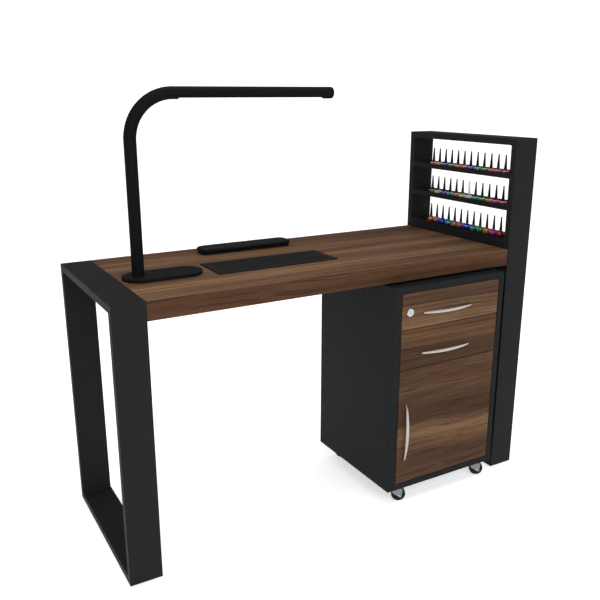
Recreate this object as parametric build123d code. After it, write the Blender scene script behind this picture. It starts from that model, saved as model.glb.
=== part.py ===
from build123d import *
import os

# Manicure table, in millimetres. +Z is up and z = 0 is the floor. The technician sits at -Y and the
# client at +Y, the leg frame is at -X and the polish rack at +X. The origin is on the floor, in the
# middle of the whole object's width and depth.

OVER = 1.0                 # how far a cutting shape runs past the face it cuts

# Table
LENGTH = 1330.0
DEPTH = 502.0
HEIGHT = 750.0
TOP_THICK = 50.0
TOP_FRONT_SETBACK = 2.0
TOP_CHAMFER = 0.8
RACK_HEIGHT = 1086.0
STRIP = 86.0               # width of every leg and rack strip, along X
TUBE = 20.0                # thickness of a leg strip
WALL = 2.0                 # steel wall of the leg strips
EDGE_ROUND = 1.5
INNER_CORNER = 4.0         # radius in the corners of a leg opening
FOOT_PAD = 3.0
FOOT_RADIUS = 17.0
FOOT_INSET = 30.0          # from a leg's outer faces to a foot, along X and Y
RACK_RAIL_DEPTH = 80.0     # height of the rail that carries the tabletop at the rack end
STUD_RADIUS = 4.0
STUD_LENGTH = 14.0

# Rack shelves, each a folded tray with a lip at both long edges
SHEET = 1.5
LIP_HEIGHT = 16.5
LOWER_SHELF_Z = 869.5
UPPER_SHELF_Z = 966.0
BASE_TRAY_FLOOR_Z = 773.0
BASE_TRAY_TOP_Z = 782.0

# Polish bottles
BOTTLES_PER_ROW = 12
BOTTLE_PITCH = 31.1
BOTTLE_RADIUS = 13.0
BOTTLE_BODY_HEIGHT = 20.5
BOTTLE_WIDEST = 0.47       # height of the widest part, as a share of the body's height
BOTTLE_BASE_RADIUS = 7.5
BOTTLE_NECK_RADIUS = 3.6
BOTTLE_NECK_HEIGHT = 24.0
BOTTLE_TOTAL_HEIGHT = 65.0
CAP_BASE_RADIUS = 4.9
CAP_TIP_RADIUS = 2.2
REST_GAP = 0.3             # under anything that only stands on a surface

# Pedestal on casters
PED_WIDTH = 407.0
PED_DEPTH = 389.0
PED_BOTTOM_Z = 55.0
PED_TOP_Z = 692.5
PED_LEFT_OFFSET = 795.0    # from the table's left end to the pedestal's left side, less its facing
LEFT_FACING = 8.5          # extra thickness on the outside of the left side board
PED_FORWARD = 32.0         # how far the pedestal stands in front of the table
BOARD = 18.0
BACK_BOARD = 8.0
SIDE_EDGE_ROUND = 0.8
FRONT_CHAMFER = 0.6
REVEAL = 2.0               # gap round each inset front
FRONT_CLEARANCE = 4.0      # behind an inset front, for the door's swinging edge
DRAWER_1_BOTTOM_Z = 565.5
DRAWER_2_BOTTOM_Z = 442.0
DIVIDER_TOP_Z = 439.0
DRAWER_BOX_WALL = 12.0
DRAWER_BOX_DEPTH = 330.0
DRAWER_BOX_HEIGHT = 72.0
DRAWER_BOX_RISE = 8.0      # from a drawer front's lower edge to the box behind it
DRAWER_BOTTOM = 5.0
RAIL_THICK = 6.0
RAIL_HEIGHT = 28.0
RAIL_GAP = 0.5
RAIL_RISE = 4.0            # from the box's lower edge to the rails'
RAIL_FRONT_GAP = 4.0       # from a drawer front's back to the cabinet's rails
RAIL_REAR_GAP = 10.0       # from the box's rear to the end of the drawer's rails
SHELF_Z = 258.0
SHELF_SETBACK = 60.0       # from the pedestal's front to the shelf's front edge

# Bow handles
HANDLE_LENGTH = 184.0
HANDLE_REACH = 17.0
HANDLE_STRAP = 4.0
HANDLE_MID_WIDTH = 11.0
HANDLE_END_WIDTH = 6.0
HANDLE_FOOT = 9.0          # length of a foot where it stands on the front
HANDLE_SHOULDER = 7.5      # reach of the strap's ends, just above the feet
HANDLE_SHOULDER_INSET = 5.0
HANDLE_FOOT_SLOPE = 1.0    # lean of a foot's inner side
DRAWER_HANDLE_SHIFT = -17.0  # handle centre from the middle of the drawer front
DRAWER_1_HANDLE_Z = 609.0
DRAWER_2_HANDLE_Z = 486.0
DOOR_HANDLE_INSET = 26.0
DOOR_HANDLE_Z = 241.0

# Lock
LOCK_INSET = 28.5          # from the drawer front's left edge
LOCK_Z = 616.0
LOCK_RADIUS = 8.0
LOCK_ROSE_RADIUS = 12.0
LOCK_ROSE_THICK = 2.5
LOCK_ROSE_CHAMFER = 1.0
LOCK_CORE_RADIUS = 5.5
LOCK_END_GAP = 0.2         # between the barrel's inner end and the cam
KEY_SLOT_WIDTH = 1.6
KEY_SLOT_HEIGHT = 7.2
KEY_SLOT_DEPTH = 8.0       # behind the drawer front's face
RUNNING = 0.05             # radial clearance of a turning fit
CAM_LENGTH = 38.0
CAM_THICK = 2.5
CAM_WIDTH = 10.0
CAM_CORNER = 4.5
CAM_BEHIND_FRONT = 2.2
CAM_ROOM = 1.0             # clearance in front of and behind the cam in its groove
KEEPER_DEPTH = 9.0         # how deep the cam's groove is cut into the left side
KEEPER_HEIGHT = 34.0       # how far the groove rises above the lock, for the cam to swing in
LOCK_NOTCH_WEB = 2.0       # wall of the drawer box left behind the cam

# Door pivots
PIVOT_RADIUS = 2.5
PIVOT_LENGTH = 9.0
PIVOT_INSET = 9.0          # from the door's right edge
PIVOT_BEHIND_FACE = 5.0
PIVOT_END_GAP = 1.0        # between a pin's end and the bottom of its hole
PIVOT_PLATE_LENGTH = 27.0
PIVOT_PLATE_SETBACK = 1.0

# Casters
WHEEL_RADIUS = 22.0
WHEEL_WIDTH = 18.0
AXLE_RADIUS = 3.0
CASTER_INSET_X = 43.0
CASTER_INSET_Y = 34.0
CASTER_TRAIL = 12.0
CASTER_YAW = -30.0         # heading of the trail, in degrees from +X
PLATE_SIZE = 40.0
PLATE_CORNER = 5.0
PLATE_THICK = 2.5
RACE_RADIUS = 13.0
RACE_GAP = 0.3             # between the race and the fork's crown
STEM_END = 0.8             # how far the stem stands out under the crown
FORK_SHEET = 2.0
FORK_GAP = 1.2             # between a wheel's side and the fork's cheek
FORK_TOP_Z = 48.0
FORK_BACK_X = -10.0        # the crown's two ends, from the swivel axis along the trail
FORK_FRONT_X = 15.0
CHEEK_OUTLINE = [          # the rest of a cheek's edge, (x, z) in the same frame
    (24.0, 40.0),
    (21.0, 13.0),
    (17.0, 13.0),
    (-6.0, 28.0),
    (-10.0, 34.0),
]
AXLE_END = 1.0             # how far the axle stands out of the cheeks
WHEEL_EDGE_ROUND = 3.0
WHEEL_DISH_DEPTH = 2.0
WHEEL_DISH_RADIUS = 14.0
WHEEL_HUB_RADIUS = 6.0

# Desk lamp
LAMP_TUBE_RADIUS = 16.0
LAMP_WALL = 2.0
LAMP_X = 135.5             # column, from the table's left end
LAMP_Y = 211.0             # column, from the table's front
LAMP_ARM_Z = 1217.7
LAMP_BEND = 115.0
LAMP_END_X = 725.0         # end of the arm, from the table's left end
LAMP_CAP_LENGTH = 28.0
LAMP_FLAT = 3.7            # depth of the flat along the arm's underside
LAMP_FLAT_START_X = 265.0
LAMP_BASE_LEFT_X = 93.0
LAMP_BASE_RIGHT_X = 311.0
LAMP_BASE_WIDTH = 96.0
LAMP_BASE_THICK = 8.3
LAMP_BASE_ROUND = 1.5
LAMP_PAD = 1.5
LAMP_PAD_INSET = 2.0
SPIGOT_HEIGHT = 30.0
DIFFUSER_THICK = 2.0
LED_BELOW_AXIS = 4.0
LED_END_GAP = 8.0
LED_BOARD_WIDTH = 26.0
LED_BOARD_THICK = 1.6
LED_COUNT = 24
LED_SIZE = 5.0
LED_HEIGHT = 1.2
CAP_ROUND = 5.0
CAP_PLUG = 8.0             # how far the end cap reaches into the tube
CAP_PLUG_LOW = 1.0         # from the arm's axis down to the plug's flat underside
BUTTON_RADIUS = 6.0
BUTTON_GAP = 0.2
BUTTON_WELL = 10.0
BUTTON_DEPTH = 8.0
BUTTON_PROUD = 1.5
BUTTON_ROUND = 0.8
LAMP_SOCKET_X = 250.0      # from the table's left end
LAMP_SOCKET_LOW = 0.4      # from mid thickness of the base down to the socket's axis
LAMP_SOCKET_RADIUS = 3.2
LAMP_SOCKET_DEPTH = 12.0
LAMP_SOCKET_PROUD = 0.6
LAMP_SOCKET_BORE = 1.8
LAMP_SOCKET_BORE_DEPTH = 8.0

# Hand rest
REST_LEFT_X = 389.0
REST_LENGTH = 303.0
REST_FRONT_Y = 387.0
REST_WIDTH = 62.0
REST_BOARD = 4.0
REST_CUSHION_HEIGHT = 17.5
REST_BOARD_INSET = 4.0
REST_CORNER = 18.0
REST_BOARD_CORNER = 14.0
REST_TOP_ROUND = 7.0

# Dust extractor let into the tabletop
GRILLE_LEFT_X = 338.5
GRILLE_LENGTH = 376.0
GRILLE_FRONT_Y = 151.0
GRILLE_WIDTH = 135.0
GRILLE_THICK = 3.0
GRILLE_LAP = 6.0           # how far the plate laps over the cut-out's edge
GRILLE_CHAMFER = 0.8
GRILLE_RIM = 10.0
RIM_CLEARANCE = 3.0        # between the rim and the cut-out's wall
RIM_WALL = 2.0
FILTER_GAP = 0.3           # between the filter and the rim
FILTER_HEIGHT = 9.0
SLOT_WIDTH = 2.2
SLOT_PITCH = 9.0
SLOT_ROWS = 4
SLOT_BRIDGE = 8.0
SLOT_SIDE_MARGIN = 14.0    # from the cut-out's long edges to the slots
SLOT_END_MARGIN = 12.0     # from the cut-out's short edges to the slots
HOUSING_WALL = 2.0
HOUSING_TOP_GAP = 3.0      # between the housing and the grille's rim
HOUSING_BOTTOM_Z = 672.0
HOUSING_FLANGE = 14.0
HOUSING_CLEARANCE = 0.5
FAN_RADIUS = 43.0
FAN_HUB_RADIUS = 16.0
FAN_BLADES = 7
FAN_BOTTOM_Z = 678.0
FAN_HEIGHT = 18.0
FAN_SHAFT_RADIUS = 2.0
FAN_SHAFT_TOP = 3.0        # from the hub's top down to the shaft's end
FAN_CROWN = 2.5            # thickness of the hub over the shaft
FAN_SPOKE_WIDTH = 4.0
BLADE_PITCH = 38.0
BLADE_CHORD = 22.0
BLADE_THICK = 1.6
BLADE_ROOT = 1.5           # how far a blade is sunk into the hub
SWITCH_WIDTH = 20.0
SWITCH_HEIGHT = 13.0
SWITCH_TILT = 7.0          # lean of the rocker when it is off
SWITCH_AXLE_RADIUS = 1.0
SWITCH_AXLE_Y = 3.5        # behind the housing's front face
SWITCH_AXLE_END = 1.8      # how far the axle stands out of the rocker's opening
SWITCH_WELL = 9.0
EAR_THICK = 2.0
EAR_HEIGHT = 5.0
ROCKER_SIDE_GAP = 0.5
ROCKER_END_GAP = 0.8
ROCKER_PROUD = 2.6         # in front of the housing's face, at the rocker's two tips
ROCKER_DISH = 2.0
ROCKER_BACK = 1.5          # behind the axle
ROCKER_TAPER = 1.2
FITTING_INSET = 60.0       # switch and socket, from the grille's ends
FITTING_Z = 686.0
SOCKET_RADIUS = 7.0
SOCKET_LENGTH = 9.0
SOCKET_BORE = 4.5
SOCKET_FLOOR = 1.5
SOCKET_PIN_RADIUS = 1.0
SOCKET_PIN_LENGTH = 6.5

# Brackets under the tabletop
BRACKET_THICK = 3.0
BRACKET_LAP = 50.0
BRACKET_END_GAP = 60.0
BRACKET_SCREWS = 4
SCREW_END_GAP = 30.0       # from a bracket's ends to its outer screws
SCREW_RADIUS = 2.0
SCREW_HEAD_RADIUS = 4.0
SCREW_HEAD = 2.2
SCREW_LENGTH = 22.0

# Derived places
LEFT = -LENGTH / 2
RIGHT = LENGTH / 2
OVERALL_DEPTH = DEPTH + PED_FORWARD + HANDLE_REACH
REAR = OVERALL_DEPTH / 2
FRONT = REAR - DEPTH
TOP_LEFT = LEFT + STRIP
TOP_RIGHT = RIGHT - STRIP
TOP_BOTTOM_Z = HEIGHT - TOP_THICK
BAY_FRONT = FRONT + TUBE
BAY_REAR = REAR - TUBE
PED_LEFT = LEFT + PED_LEFT_OFFSET
PED_RIGHT = PED_LEFT + PED_WIDTH
PED_FRONT = FRONT - PED_FORWARD
PED_REAR = PED_FRONT + PED_DEPTH
FRONT_LEFT = PED_LEFT + BOARD + REVEAL
FRONT_RIGHT = PED_RIGHT - BOARD - REVEAL
FRONT_BACK_Y = PED_FRONT + BOARD
DRAWER_1_TOP_Z = PED_TOP_Z - BOARD - REVEAL
DRAWER_2_TOP_Z = DRAWER_1_BOTTOM_Z - REVEAL
DOOR_BOTTOM_Z = PED_BOTTOM_Z + BOARD + REVEAL
DOOR_TOP_Z = DRAWER_2_BOTTOM_Z - REVEAL
LOCK_X = FRONT_LEFT + LOCK_INSET
GRILLE_LEFT = LEFT + GRILLE_LEFT_X
GRILLE_RIGHT = GRILLE_LEFT + GRILLE_LENGTH
GRILLE_FRONT = FRONT + GRILLE_FRONT_Y
GRILLE_REAR = GRILLE_FRONT + GRILLE_WIDTH
FAN_X = (GRILLE_LEFT + GRILLE_RIGHT) / 2
FAN_Y = (GRILLE_FRONT + GRILLE_REAR) / 2


def block(x0, x1, y0, y1, z0, z1):
    """A plain box between two opposite corners."""
    centre = ((x0 + x1) / 2, (y0 + y1) / 2, (z0 + z1) / 2)
    return Pos(*centre) * Box(x1 - x0, y1 - y0, z1 - z0)


def post(x, y, z0, z1, radius):
    """An upright round bar."""
    return Pos(x, y, (z0 + z1) / 2) * Cylinder(radius, z1 - z0)


def bar_y(x, z, y0, y1, radius):
    """A round bar along Y."""
    return Pos(x, (y0 + y1) / 2, z) * Rot(90, 0, 0) * Cylinder(radius, y1 - y0)


def axle_x(x, y, z, half, radius):
    """A round bar along X about its middle."""
    return Pos(x, y, z) * Rot(0, 90, 0) * Cylinder(radius, 2 * half)


def rounded(shape, radius, axis):
    """The shape with every straight edge along one axis rounded."""
    return fillet(shape.edges().filter_by(axis), radius)


# Table frame

def strip_opening(x0, x1, z0, z1):
    """The open window inside a leg strip, with rounded corners."""
    return rounded(block(x0 - OVER, x1 + OVER, BAY_FRONT, BAY_REAR, z0, z1), INNER_CORNER, Axis.X)


def foot_places(x0):
    """Centres of a leg's two feet."""
    for y in (FRONT + FOOT_INSET, REAR - FOOT_INSET):
        yield x0 + STRIP / 2, y


def leg_loop(x0, top_z, rail_z):
    """A welded hollow strip that runs up, over, down and along the floor.

    rail_z lists the bottom and top of each further hollow rail across the loop."""
    x1 = x0 + STRIP
    levels = [FOOT_PAD + TUBE] + [z for pair in rail_z for z in pair] + [top_z - TUBE]
    shell = rounded(block(x0, x1, FRONT, REAR, FOOT_PAD, top_z), EDGE_ROUND, Axis.X)
    cavity = block(x0 + WALL, x1 - WALL, FRONT + WALL, REAR - WALL, FOOT_PAD + WALL, top_z - WALL)
    for z0, z1 in zip(levels[::2], levels[1::2]):
        shell -= strip_opening(x0, x1, z0, z1)
        cavity -= block(x0, x1, BAY_FRONT - WALL, BAY_REAR + WALL, z0 - WALL, z1 + WALL)
    loop = shell - cavity
    for x, y in foot_places(x0):
        loop -= post(x, y, FOOT_PAD - OVER, FOOT_PAD + WALL + OVER, STUD_RADIUS)
    return loop


def make_left_leg():
    return leg_loop(LEFT, HEIGHT, [])


def make_right_leg():
    return leg_loop(TOP_RIGHT, RACK_HEIGHT, [(HEIGHT - RACK_RAIL_DEPTH, HEIGHT)])


def make_levelling_feet():
    feet = Part()
    for x0 in (LEFT, TOP_RIGHT):
        for x, y in foot_places(x0):
            pad = post(x, y, 0, FOOT_PAD, FOOT_RADIUS)
            feet += pad + post(x, y, FOOT_PAD, FOOT_PAD + STUD_LENGTH, STUD_RADIUS)
    return feet


def bracket_screw_places():
    """Screw centres, one row under each end of the tabletop."""
    first = FRONT + BRACKET_END_GAP + SCREW_END_GAP
    last = REAR - BRACKET_END_GAP - SCREW_END_GAP
    for x in (TOP_LEFT + BRACKET_LAP / 2, TOP_RIGHT - BRACKET_LAP / 2):
        for k in range(BRACKET_SCREWS):
            yield x, first + k * (last - first) / (BRACKET_SCREWS - 1)


def make_tabletop():
    top = block(TOP_LEFT, TOP_RIGHT, FRONT + TOP_FRONT_SETBACK, REAR, TOP_BOTTOM_Z, HEIGHT)
    long_edges = top.edges().filter_by(Axis.X)
    top = chamfer(long_edges, TOP_CHAMFER)
    top -= block(GRILLE_LEFT + GRILLE_LAP, GRILLE_RIGHT - GRILLE_LAP, GRILLE_FRONT + GRILLE_LAP,
                 GRILLE_REAR - GRILLE_LAP, TOP_BOTTOM_Z - OVER, HEIGHT + OVER)
    for x, y in bracket_screw_places():
        hole_top = TOP_BOTTOM_Z + SCREW_LENGTH - BRACKET_THICK
        top -= post(x, y, TOP_BOTTOM_Z - OVER, hole_top, SCREW_RADIUS)
    return top


def left_bracket():
    """A cranked plate: welded under the leg's top strip, screwed up into the tabletop."""
    y0 = FRONT + BRACKET_END_GAP
    y1 = REAR - BRACKET_END_GAP
    strip_z = HEIGHT - TUBE
    bracket = block(TOP_LEFT - BRACKET_LAP, TOP_LEFT, y0, y1, strip_z - BRACKET_THICK, strip_z)
    bracket += block(TOP_LEFT - BRACKET_THICK, TOP_LEFT, y0, y1, TOP_BOTTOM_Z - BRACKET_THICK, strip_z)
    bracket += block(TOP_LEFT - BRACKET_THICK, TOP_LEFT + BRACKET_LAP, y0, y1,
                     TOP_BOTTOM_Z - BRACKET_THICK, TOP_BOTTOM_Z)
    return bracket


def right_bracket():
    """An angle: welded to the face of the rack's deep rail, screwed up into the tabletop."""
    y0 = FRONT + BRACKET_END_GAP
    y1 = REAR - BRACKET_END_GAP
    rail_z = HEIGHT - RACK_RAIL_DEPTH
    flange = block(TOP_RIGHT - BRACKET_LAP, TOP_RIGHT, y0, y1, TOP_BOTTOM_Z - BRACKET_THICK, TOP_BOTTOM_Z)
    return flange + block(TOP_RIGHT - BRACKET_THICK, TOP_RIGHT, y0, y1, rail_z, TOP_BOTTOM_Z)


def make_brackets():
    brackets = left_bracket() + right_bracket()
    for x, y in bracket_screw_places():
        under = TOP_BOTTOM_Z - BRACKET_THICK
        brackets -= post(x, y, under - OVER, TOP_BOTTOM_Z + OVER, SCREW_RADIUS)
    return brackets


def make_bracket_screws():
    screws = Part()
    under = TOP_BOTTOM_Z - BRACKET_THICK
    for x, y in bracket_screw_places():
        head = post(x, y, under - SCREW_HEAD, under, SCREW_HEAD_RADIUS)
        screws += head + post(x, y, under, under + SCREW_LENGTH, SCREW_RADIUS)
    return screws


# Rack

def tray(bottom_z, floor_z, top_z):
    """A folded shelf between the rack's posts, with a lip along both open sides."""
    y0, y1 = BAY_FRONT, BAY_REAR
    floor = block(TOP_RIGHT, RIGHT, y0, y1, floor_z - SHEET, floor_z)
    left_lip = block(TOP_RIGHT, TOP_RIGHT + SHEET, y0, y1, bottom_z, top_z)
    right_lip = block(RIGHT - SHEET, RIGHT, y0, y1, bottom_z, top_z)
    return floor + left_lip + right_lip


def make_base_tray():
    """The lowest tray, whose lips stand on the middle rail between its rounded corners."""
    folded = tray(HEIGHT, BASE_TRAY_FLOOR_Z, BASE_TRAY_TOP_Z)
    return folded & strip_opening(TOP_RIGHT, RIGHT, HEIGHT, RACK_HEIGHT - TUBE)


def make_shelf(z):
    return tray(z, z + SHEET, z + LIP_HEIGHT)


def bottle_places():
    middle = (BAY_FRONT + BAY_REAR) / 2
    for k in range(BOTTLES_PER_ROW):
        yield (TOP_RIGHT + RIGHT) / 2, middle + (k - (BOTTLES_PER_ROW - 1) / 2) * BOTTLE_PITCH


def turned(outline):
    """A solid turned about the Z axis from a closed outline of (radius, z) points."""
    face = make_face(Polyline(*[(r, 0, z) for r, z in outline], close=True))
    return revolve(face, Axis.Z)


def bottle_row(floor_z):
    """Round glass bodies with short necks."""
    z = BOTTLE_BODY_HEIGHT
    side = Spline((BOTTLE_BASE_RADIUS, 0, 0), (BOTTLE_RADIUS, 0, z * BOTTLE_WIDEST),
                  (BOTTLE_NECK_RADIUS, 0, z))
    rest = Polyline((BOTTLE_NECK_RADIUS, 0, z), (BOTTLE_NECK_RADIUS, 0, BOTTLE_NECK_HEIGHT),
                    (0, 0, BOTTLE_NECK_HEIGHT), (0, 0, 0), (BOTTLE_BASE_RADIUS, 0, 0))
    body = revolve(make_face(side + rest), Axis.Z)
    row = Part()
    for x, y in bottle_places():
        row += Pos(x, y, floor_z + REST_GAP) * body
    return row


def cap_row(floor_z):
    """Tall tapered caps, each sitting over a bottle's neck."""
    low = BOTTLE_BODY_HEIGHT
    outside = [(BOTTLE_NECK_RADIUS, low), (CAP_BASE_RADIUS, low), (CAP_TIP_RADIUS, BOTTLE_TOTAL_HEIGHT)]
    inside = [(0, BOTTLE_TOTAL_HEIGHT), (0, BOTTLE_NECK_HEIGHT), (BOTTLE_NECK_RADIUS, BOTTLE_NECK_HEIGHT)]
    cap = turned(outside + inside)
    row = Part()
    for x, y in bottle_places():
        row += Pos(x, y, floor_z + REST_GAP) * cap
    return row


# Pedestal carcass

def make_side(x0, x1):
    side = block(x0, x1, PED_FRONT, PED_REAR, PED_BOTTOM_Z, PED_TOP_Z)
    return rounded(side, SIDE_EDGE_ROUND, Axis.Z)


def make_left_side():
    """The side whose groove takes the turned lock cam."""
    y0 = FRONT_BACK_Y + CAM_BEHIND_FRONT - CAM_ROOM
    y1 = y0 + CAM_THICK + 2 * CAM_ROOM
    groove = block(PED_LEFT + BOARD - KEEPER_DEPTH, PED_LEFT + BOARD + OVER, y0, y1,
                   LOCK_Z - CAM_WIDTH, LOCK_Z + KEEPER_HEIGHT)
    return make_side(PED_LEFT - LEFT_FACING, PED_LEFT + BOARD) - groove


def make_ped_top():
    return block(PED_LEFT + BOARD, PED_RIGHT - BOARD, PED_FRONT, PED_REAR, PED_TOP_Z - BOARD, PED_TOP_Z)


def pivot_centre():
    return FRONT_RIGHT - PIVOT_INSET, PED_FRONT + PIVOT_BEHIND_FACE


def make_ped_bottom():
    top_z = PED_BOTTOM_Z + BOARD
    bottom = block(PED_LEFT + BOARD, PED_RIGHT - BOARD, PED_FRONT, PED_REAR, PED_BOTTOM_Z, top_z)
    x, y = pivot_centre()
    return bottom - post(x, y, top_z - PIVOT_LENGTH, top_z + OVER, PIVOT_RADIUS)


def make_ped_back():
    return block(PED_LEFT + BOARD, PED_RIGHT - BOARD, PED_REAR - BACK_BOARD, PED_REAR,
                 PED_BOTTOM_Z + BOARD, PED_TOP_Z - BOARD)


def make_ped_boards():
    """The fixed divider over the cupboard and the fixed shelf inside it."""
    y1 = PED_REAR - BACK_BOARD
    x0, x1 = PED_LEFT + BOARD, PED_RIGHT - BOARD
    divider = block(x0, x1, FRONT_BACK_Y + FRONT_CLEARANCE, y1, DIVIDER_TOP_Z - BOARD, DIVIDER_TOP_Z)
    shelf = block(x0, x1, PED_FRONT + SHELF_SETBACK, y1, SHELF_Z - BOARD, SHELF_Z)
    return divider + shelf


# Drawers

def make_drawer_front(bottom_z, top_z):
    front = block(FRONT_LEFT, FRONT_RIGHT, PED_FRONT, FRONT_BACK_Y, bottom_z, top_z)
    return chamfer(front.faces().sort_by(Axis.Y)[0].edges(), FRONT_CHAMFER)


def drawer_box_sides():
    inner = BOARD + 2 * RAIL_THICK + RAIL_GAP
    return PED_LEFT + inner, PED_RIGHT - inner


def make_drawer_box(front_bottom_z):
    x0, x1 = drawer_box_sides()
    y0, y1 = FRONT_BACK_Y, FRONT_BACK_Y + DRAWER_BOX_DEPTH
    z0 = front_bottom_z + DRAWER_BOX_RISE
    z1 = z0 + DRAWER_BOX_HEIGHT
    wall = DRAWER_BOX_WALL
    box = block(x0, x1, y0, y1, z0, z1)
    return box - block(x0 + wall, x1 - wall, y0 + wall, y1 - wall, z0 + DRAWER_BOTTOM, z1 + OVER)


def rail_pair(x_left, x_right, z_mid, y0, y1):
    """Two rails of a drawer's slides, one at each side."""
    z0, z1 = z_mid - RAIL_HEIGHT / 2, z_mid + RAIL_HEIGHT / 2
    pair = block(x_left, x_left + RAIL_THICK, y0, y1, z0, z1)
    return pair + block(x_right - RAIL_THICK, x_right, y0, y1, z0, z1)


def rail_z(front_bottom_z):
    return front_bottom_z + DRAWER_BOX_RISE + RAIL_RISE + RAIL_HEIGHT / 2


def make_cabinet_rails():
    y0, y1 = FRONT_BACK_Y + RAIL_FRONT_GAP, FRONT_BACK_Y + DRAWER_BOX_DEPTH
    rails = Part()
    for bottom_z in (DRAWER_1_BOTTOM_Z, DRAWER_2_BOTTOM_Z):
        rails += rail_pair(PED_LEFT + BOARD, PED_RIGHT - BOARD, rail_z(bottom_z), y0, y1)
    return rails


def make_drawer_rails(front_bottom_z):
    x0, x1 = drawer_box_sides()
    y0, y1 = FRONT_BACK_Y, FRONT_BACK_Y + DRAWER_BOX_DEPTH - RAIL_REAR_GAP
    return rail_pair(x0 - RAIL_THICK, x1 + RAIL_THICK, rail_z(front_bottom_z), y0, y1)


def make_handle():
    """A bow handle along X whose feet stand on y = 0 and whose bow reaches to -Y."""
    half = HANDLE_LENGTH / 2
    outer_end = half - HANDLE_SHOULDER_INSET
    inner_end = half - HANDLE_FOOT - HANDLE_FOOT_SLOPE
    inner_y = HANDLE_STRAP - HANDLE_SHOULDER
    outer_y = -HANDLE_SHOULDER
    outer = Line((-half, 0), (-outer_end, outer_y))
    outer += ThreePointArc((-outer_end, outer_y), (0, -HANDLE_REACH), (outer_end, outer_y))
    outer += Line((outer_end, outer_y), (half, 0))
    inner = Line((half - HANDLE_FOOT, 0), (inner_end, inner_y))
    inner += ThreePointArc((inner_end, inner_y), (0, HANDLE_STRAP - HANDLE_REACH), (-inner_end, inner_y))
    inner += Line((-inner_end, inner_y), (HANDLE_FOOT - half, 0))
    feet = Line((half, 0), (half - HANDLE_FOOT, 0)) + Line((HANDLE_FOOT - half, 0), (-half, 0))
    bow = extrude(make_face(outer + inner + feet), HANDLE_MID_WIDTH, both=True)
    end, middle = HANDLE_END_WIDTH / 2, HANDLE_MID_WIDTH / 2
    leaf_edge = ThreePointArc((-half, end), (0, middle), (half, end)) + Line((half, end), (half, -end))
    leaf_edge += ThreePointArc((half, -end), (0, -middle), (-half, -end))
    leaf_edge += Line((-half, -end), (-half, end))
    leaf = extrude(Plane.XZ * make_face(leaf_edge), HANDLE_REACH + OVER, both=True)
    return bow & leaf


def make_drawer_handle(z):
    x = (FRONT_LEFT + FRONT_RIGHT) / 2 + DRAWER_HANDLE_SHIFT
    return Pos(x, PED_FRONT, z) * make_handle()


def make_door_handle():
    return Pos(FRONT_LEFT + DOOR_HANDLE_INSET, PED_FRONT, DOOR_HANDLE_Z) * Rot(0, 90, 0) * make_handle()


# Lock

def make_lock_barrel():
    face = PED_FRONT - LOCK_ROSE_THICK
    rear = FRONT_BACK_Y + CAM_BEHIND_FRONT - LOCK_END_GAP
    barrel = bar_y(LOCK_X, LOCK_Z, face, PED_FRONT, LOCK_ROSE_RADIUS)
    barrel = chamfer(barrel.faces().sort_by(Axis.Y)[0].edges(), LOCK_ROSE_CHAMFER)
    barrel += bar_y(LOCK_X, LOCK_Z, PED_FRONT, rear, LOCK_RADIUS)
    return barrel - bar_y(LOCK_X, LOCK_Z, face - OVER, rear + OVER, LOCK_CORE_RADIUS + RUNNING)


def make_lock_cam():
    """The turning core with its key slot, and the cam on its inner end, pointing up when unlocked."""
    cam_y = FRONT_BACK_Y + CAM_BEHIND_FRONT
    face = PED_FRONT - LOCK_ROSE_THICK
    core = bar_y(LOCK_X, LOCK_Z, face, cam_y, LOCK_CORE_RADIUS)
    slot_x, slot_z = KEY_SLOT_WIDTH / 2, KEY_SLOT_HEIGHT / 2
    key_slot = block(LOCK_X - slot_x, LOCK_X + slot_x, face - OVER, PED_FRONT + KEY_SLOT_DEPTH,
                     LOCK_Z - slot_z, LOCK_Z + slot_z)
    half = CAM_WIDTH / 2
    cam = block(LOCK_X - half, LOCK_X + half, cam_y, cam_y + CAM_THICK, LOCK_Z - half, LOCK_Z + CAM_LENGTH)
    return core - key_slot + rounded(cam, CAM_CORNER, Axis.Y)


def lock_hole():
    return bar_y(LOCK_X, LOCK_Z, PED_FRONT - OVER, FRONT_BACK_Y + OVER, LOCK_RADIUS)


def lock_notch():
    """Room for the cam in the front corner of the drawer box."""
    left = drawer_box_sides()[0]
    y1 = FRONT_BACK_Y + DRAWER_BOX_WALL - LOCK_NOTCH_WEB
    return block(left - OVER, LOCK_X + CAM_WIDTH, FRONT_BACK_Y - OVER, y1,
                 LOCK_Z - CAM_WIDTH, LOCK_Z + DRAWER_BOX_HEIGHT)


# Door

def make_door():
    door = block(FRONT_LEFT, FRONT_RIGHT, PED_FRONT, FRONT_BACK_Y, DOOR_BOTTOM_Z, DOOR_TOP_Z)
    door = chamfer(door.faces().sort_by(Axis.Y)[0].edges(), FRONT_CHAMFER)
    x, y = pivot_centre()
    depth = PIVOT_LENGTH + PIVOT_END_GAP
    door -= post(x, y, DOOR_BOTTOM_Z - OVER, DOOR_BOTTOM_Z + depth, PIVOT_RADIUS + RUNNING)
    return door - post(x, y, DOOR_TOP_Z - depth, DOOR_TOP_Z + OVER, PIVOT_RADIUS + RUNNING)


def make_door_pivots():
    """The two pins that the door turns on, and the thin plate that holds the upper one."""
    x, y = pivot_centre()
    base_z = PED_BOTTOM_Z + BOARD
    plate_z0, plate_z1 = DOOR_TOP_Z + REVEAL / 4, DOOR_TOP_Z + 3 * REVEAL / 4
    lower = post(x, y, base_z - PIVOT_LENGTH, DOOR_BOTTOM_Z + PIVOT_LENGTH, PIVOT_RADIUS)
    upper = post(x, y, DOOR_TOP_Z - PIVOT_LENGTH, plate_z1, PIVOT_RADIUS)
    plate = block(FRONT_RIGHT - PIVOT_PLATE_LENGTH, PED_RIGHT - BOARD, PED_FRONT + PIVOT_PLATE_SETBACK,
                  FRONT_BACK_Y, plate_z0, plate_z1)
    return lower + (upper + plate)


# Casters

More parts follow.
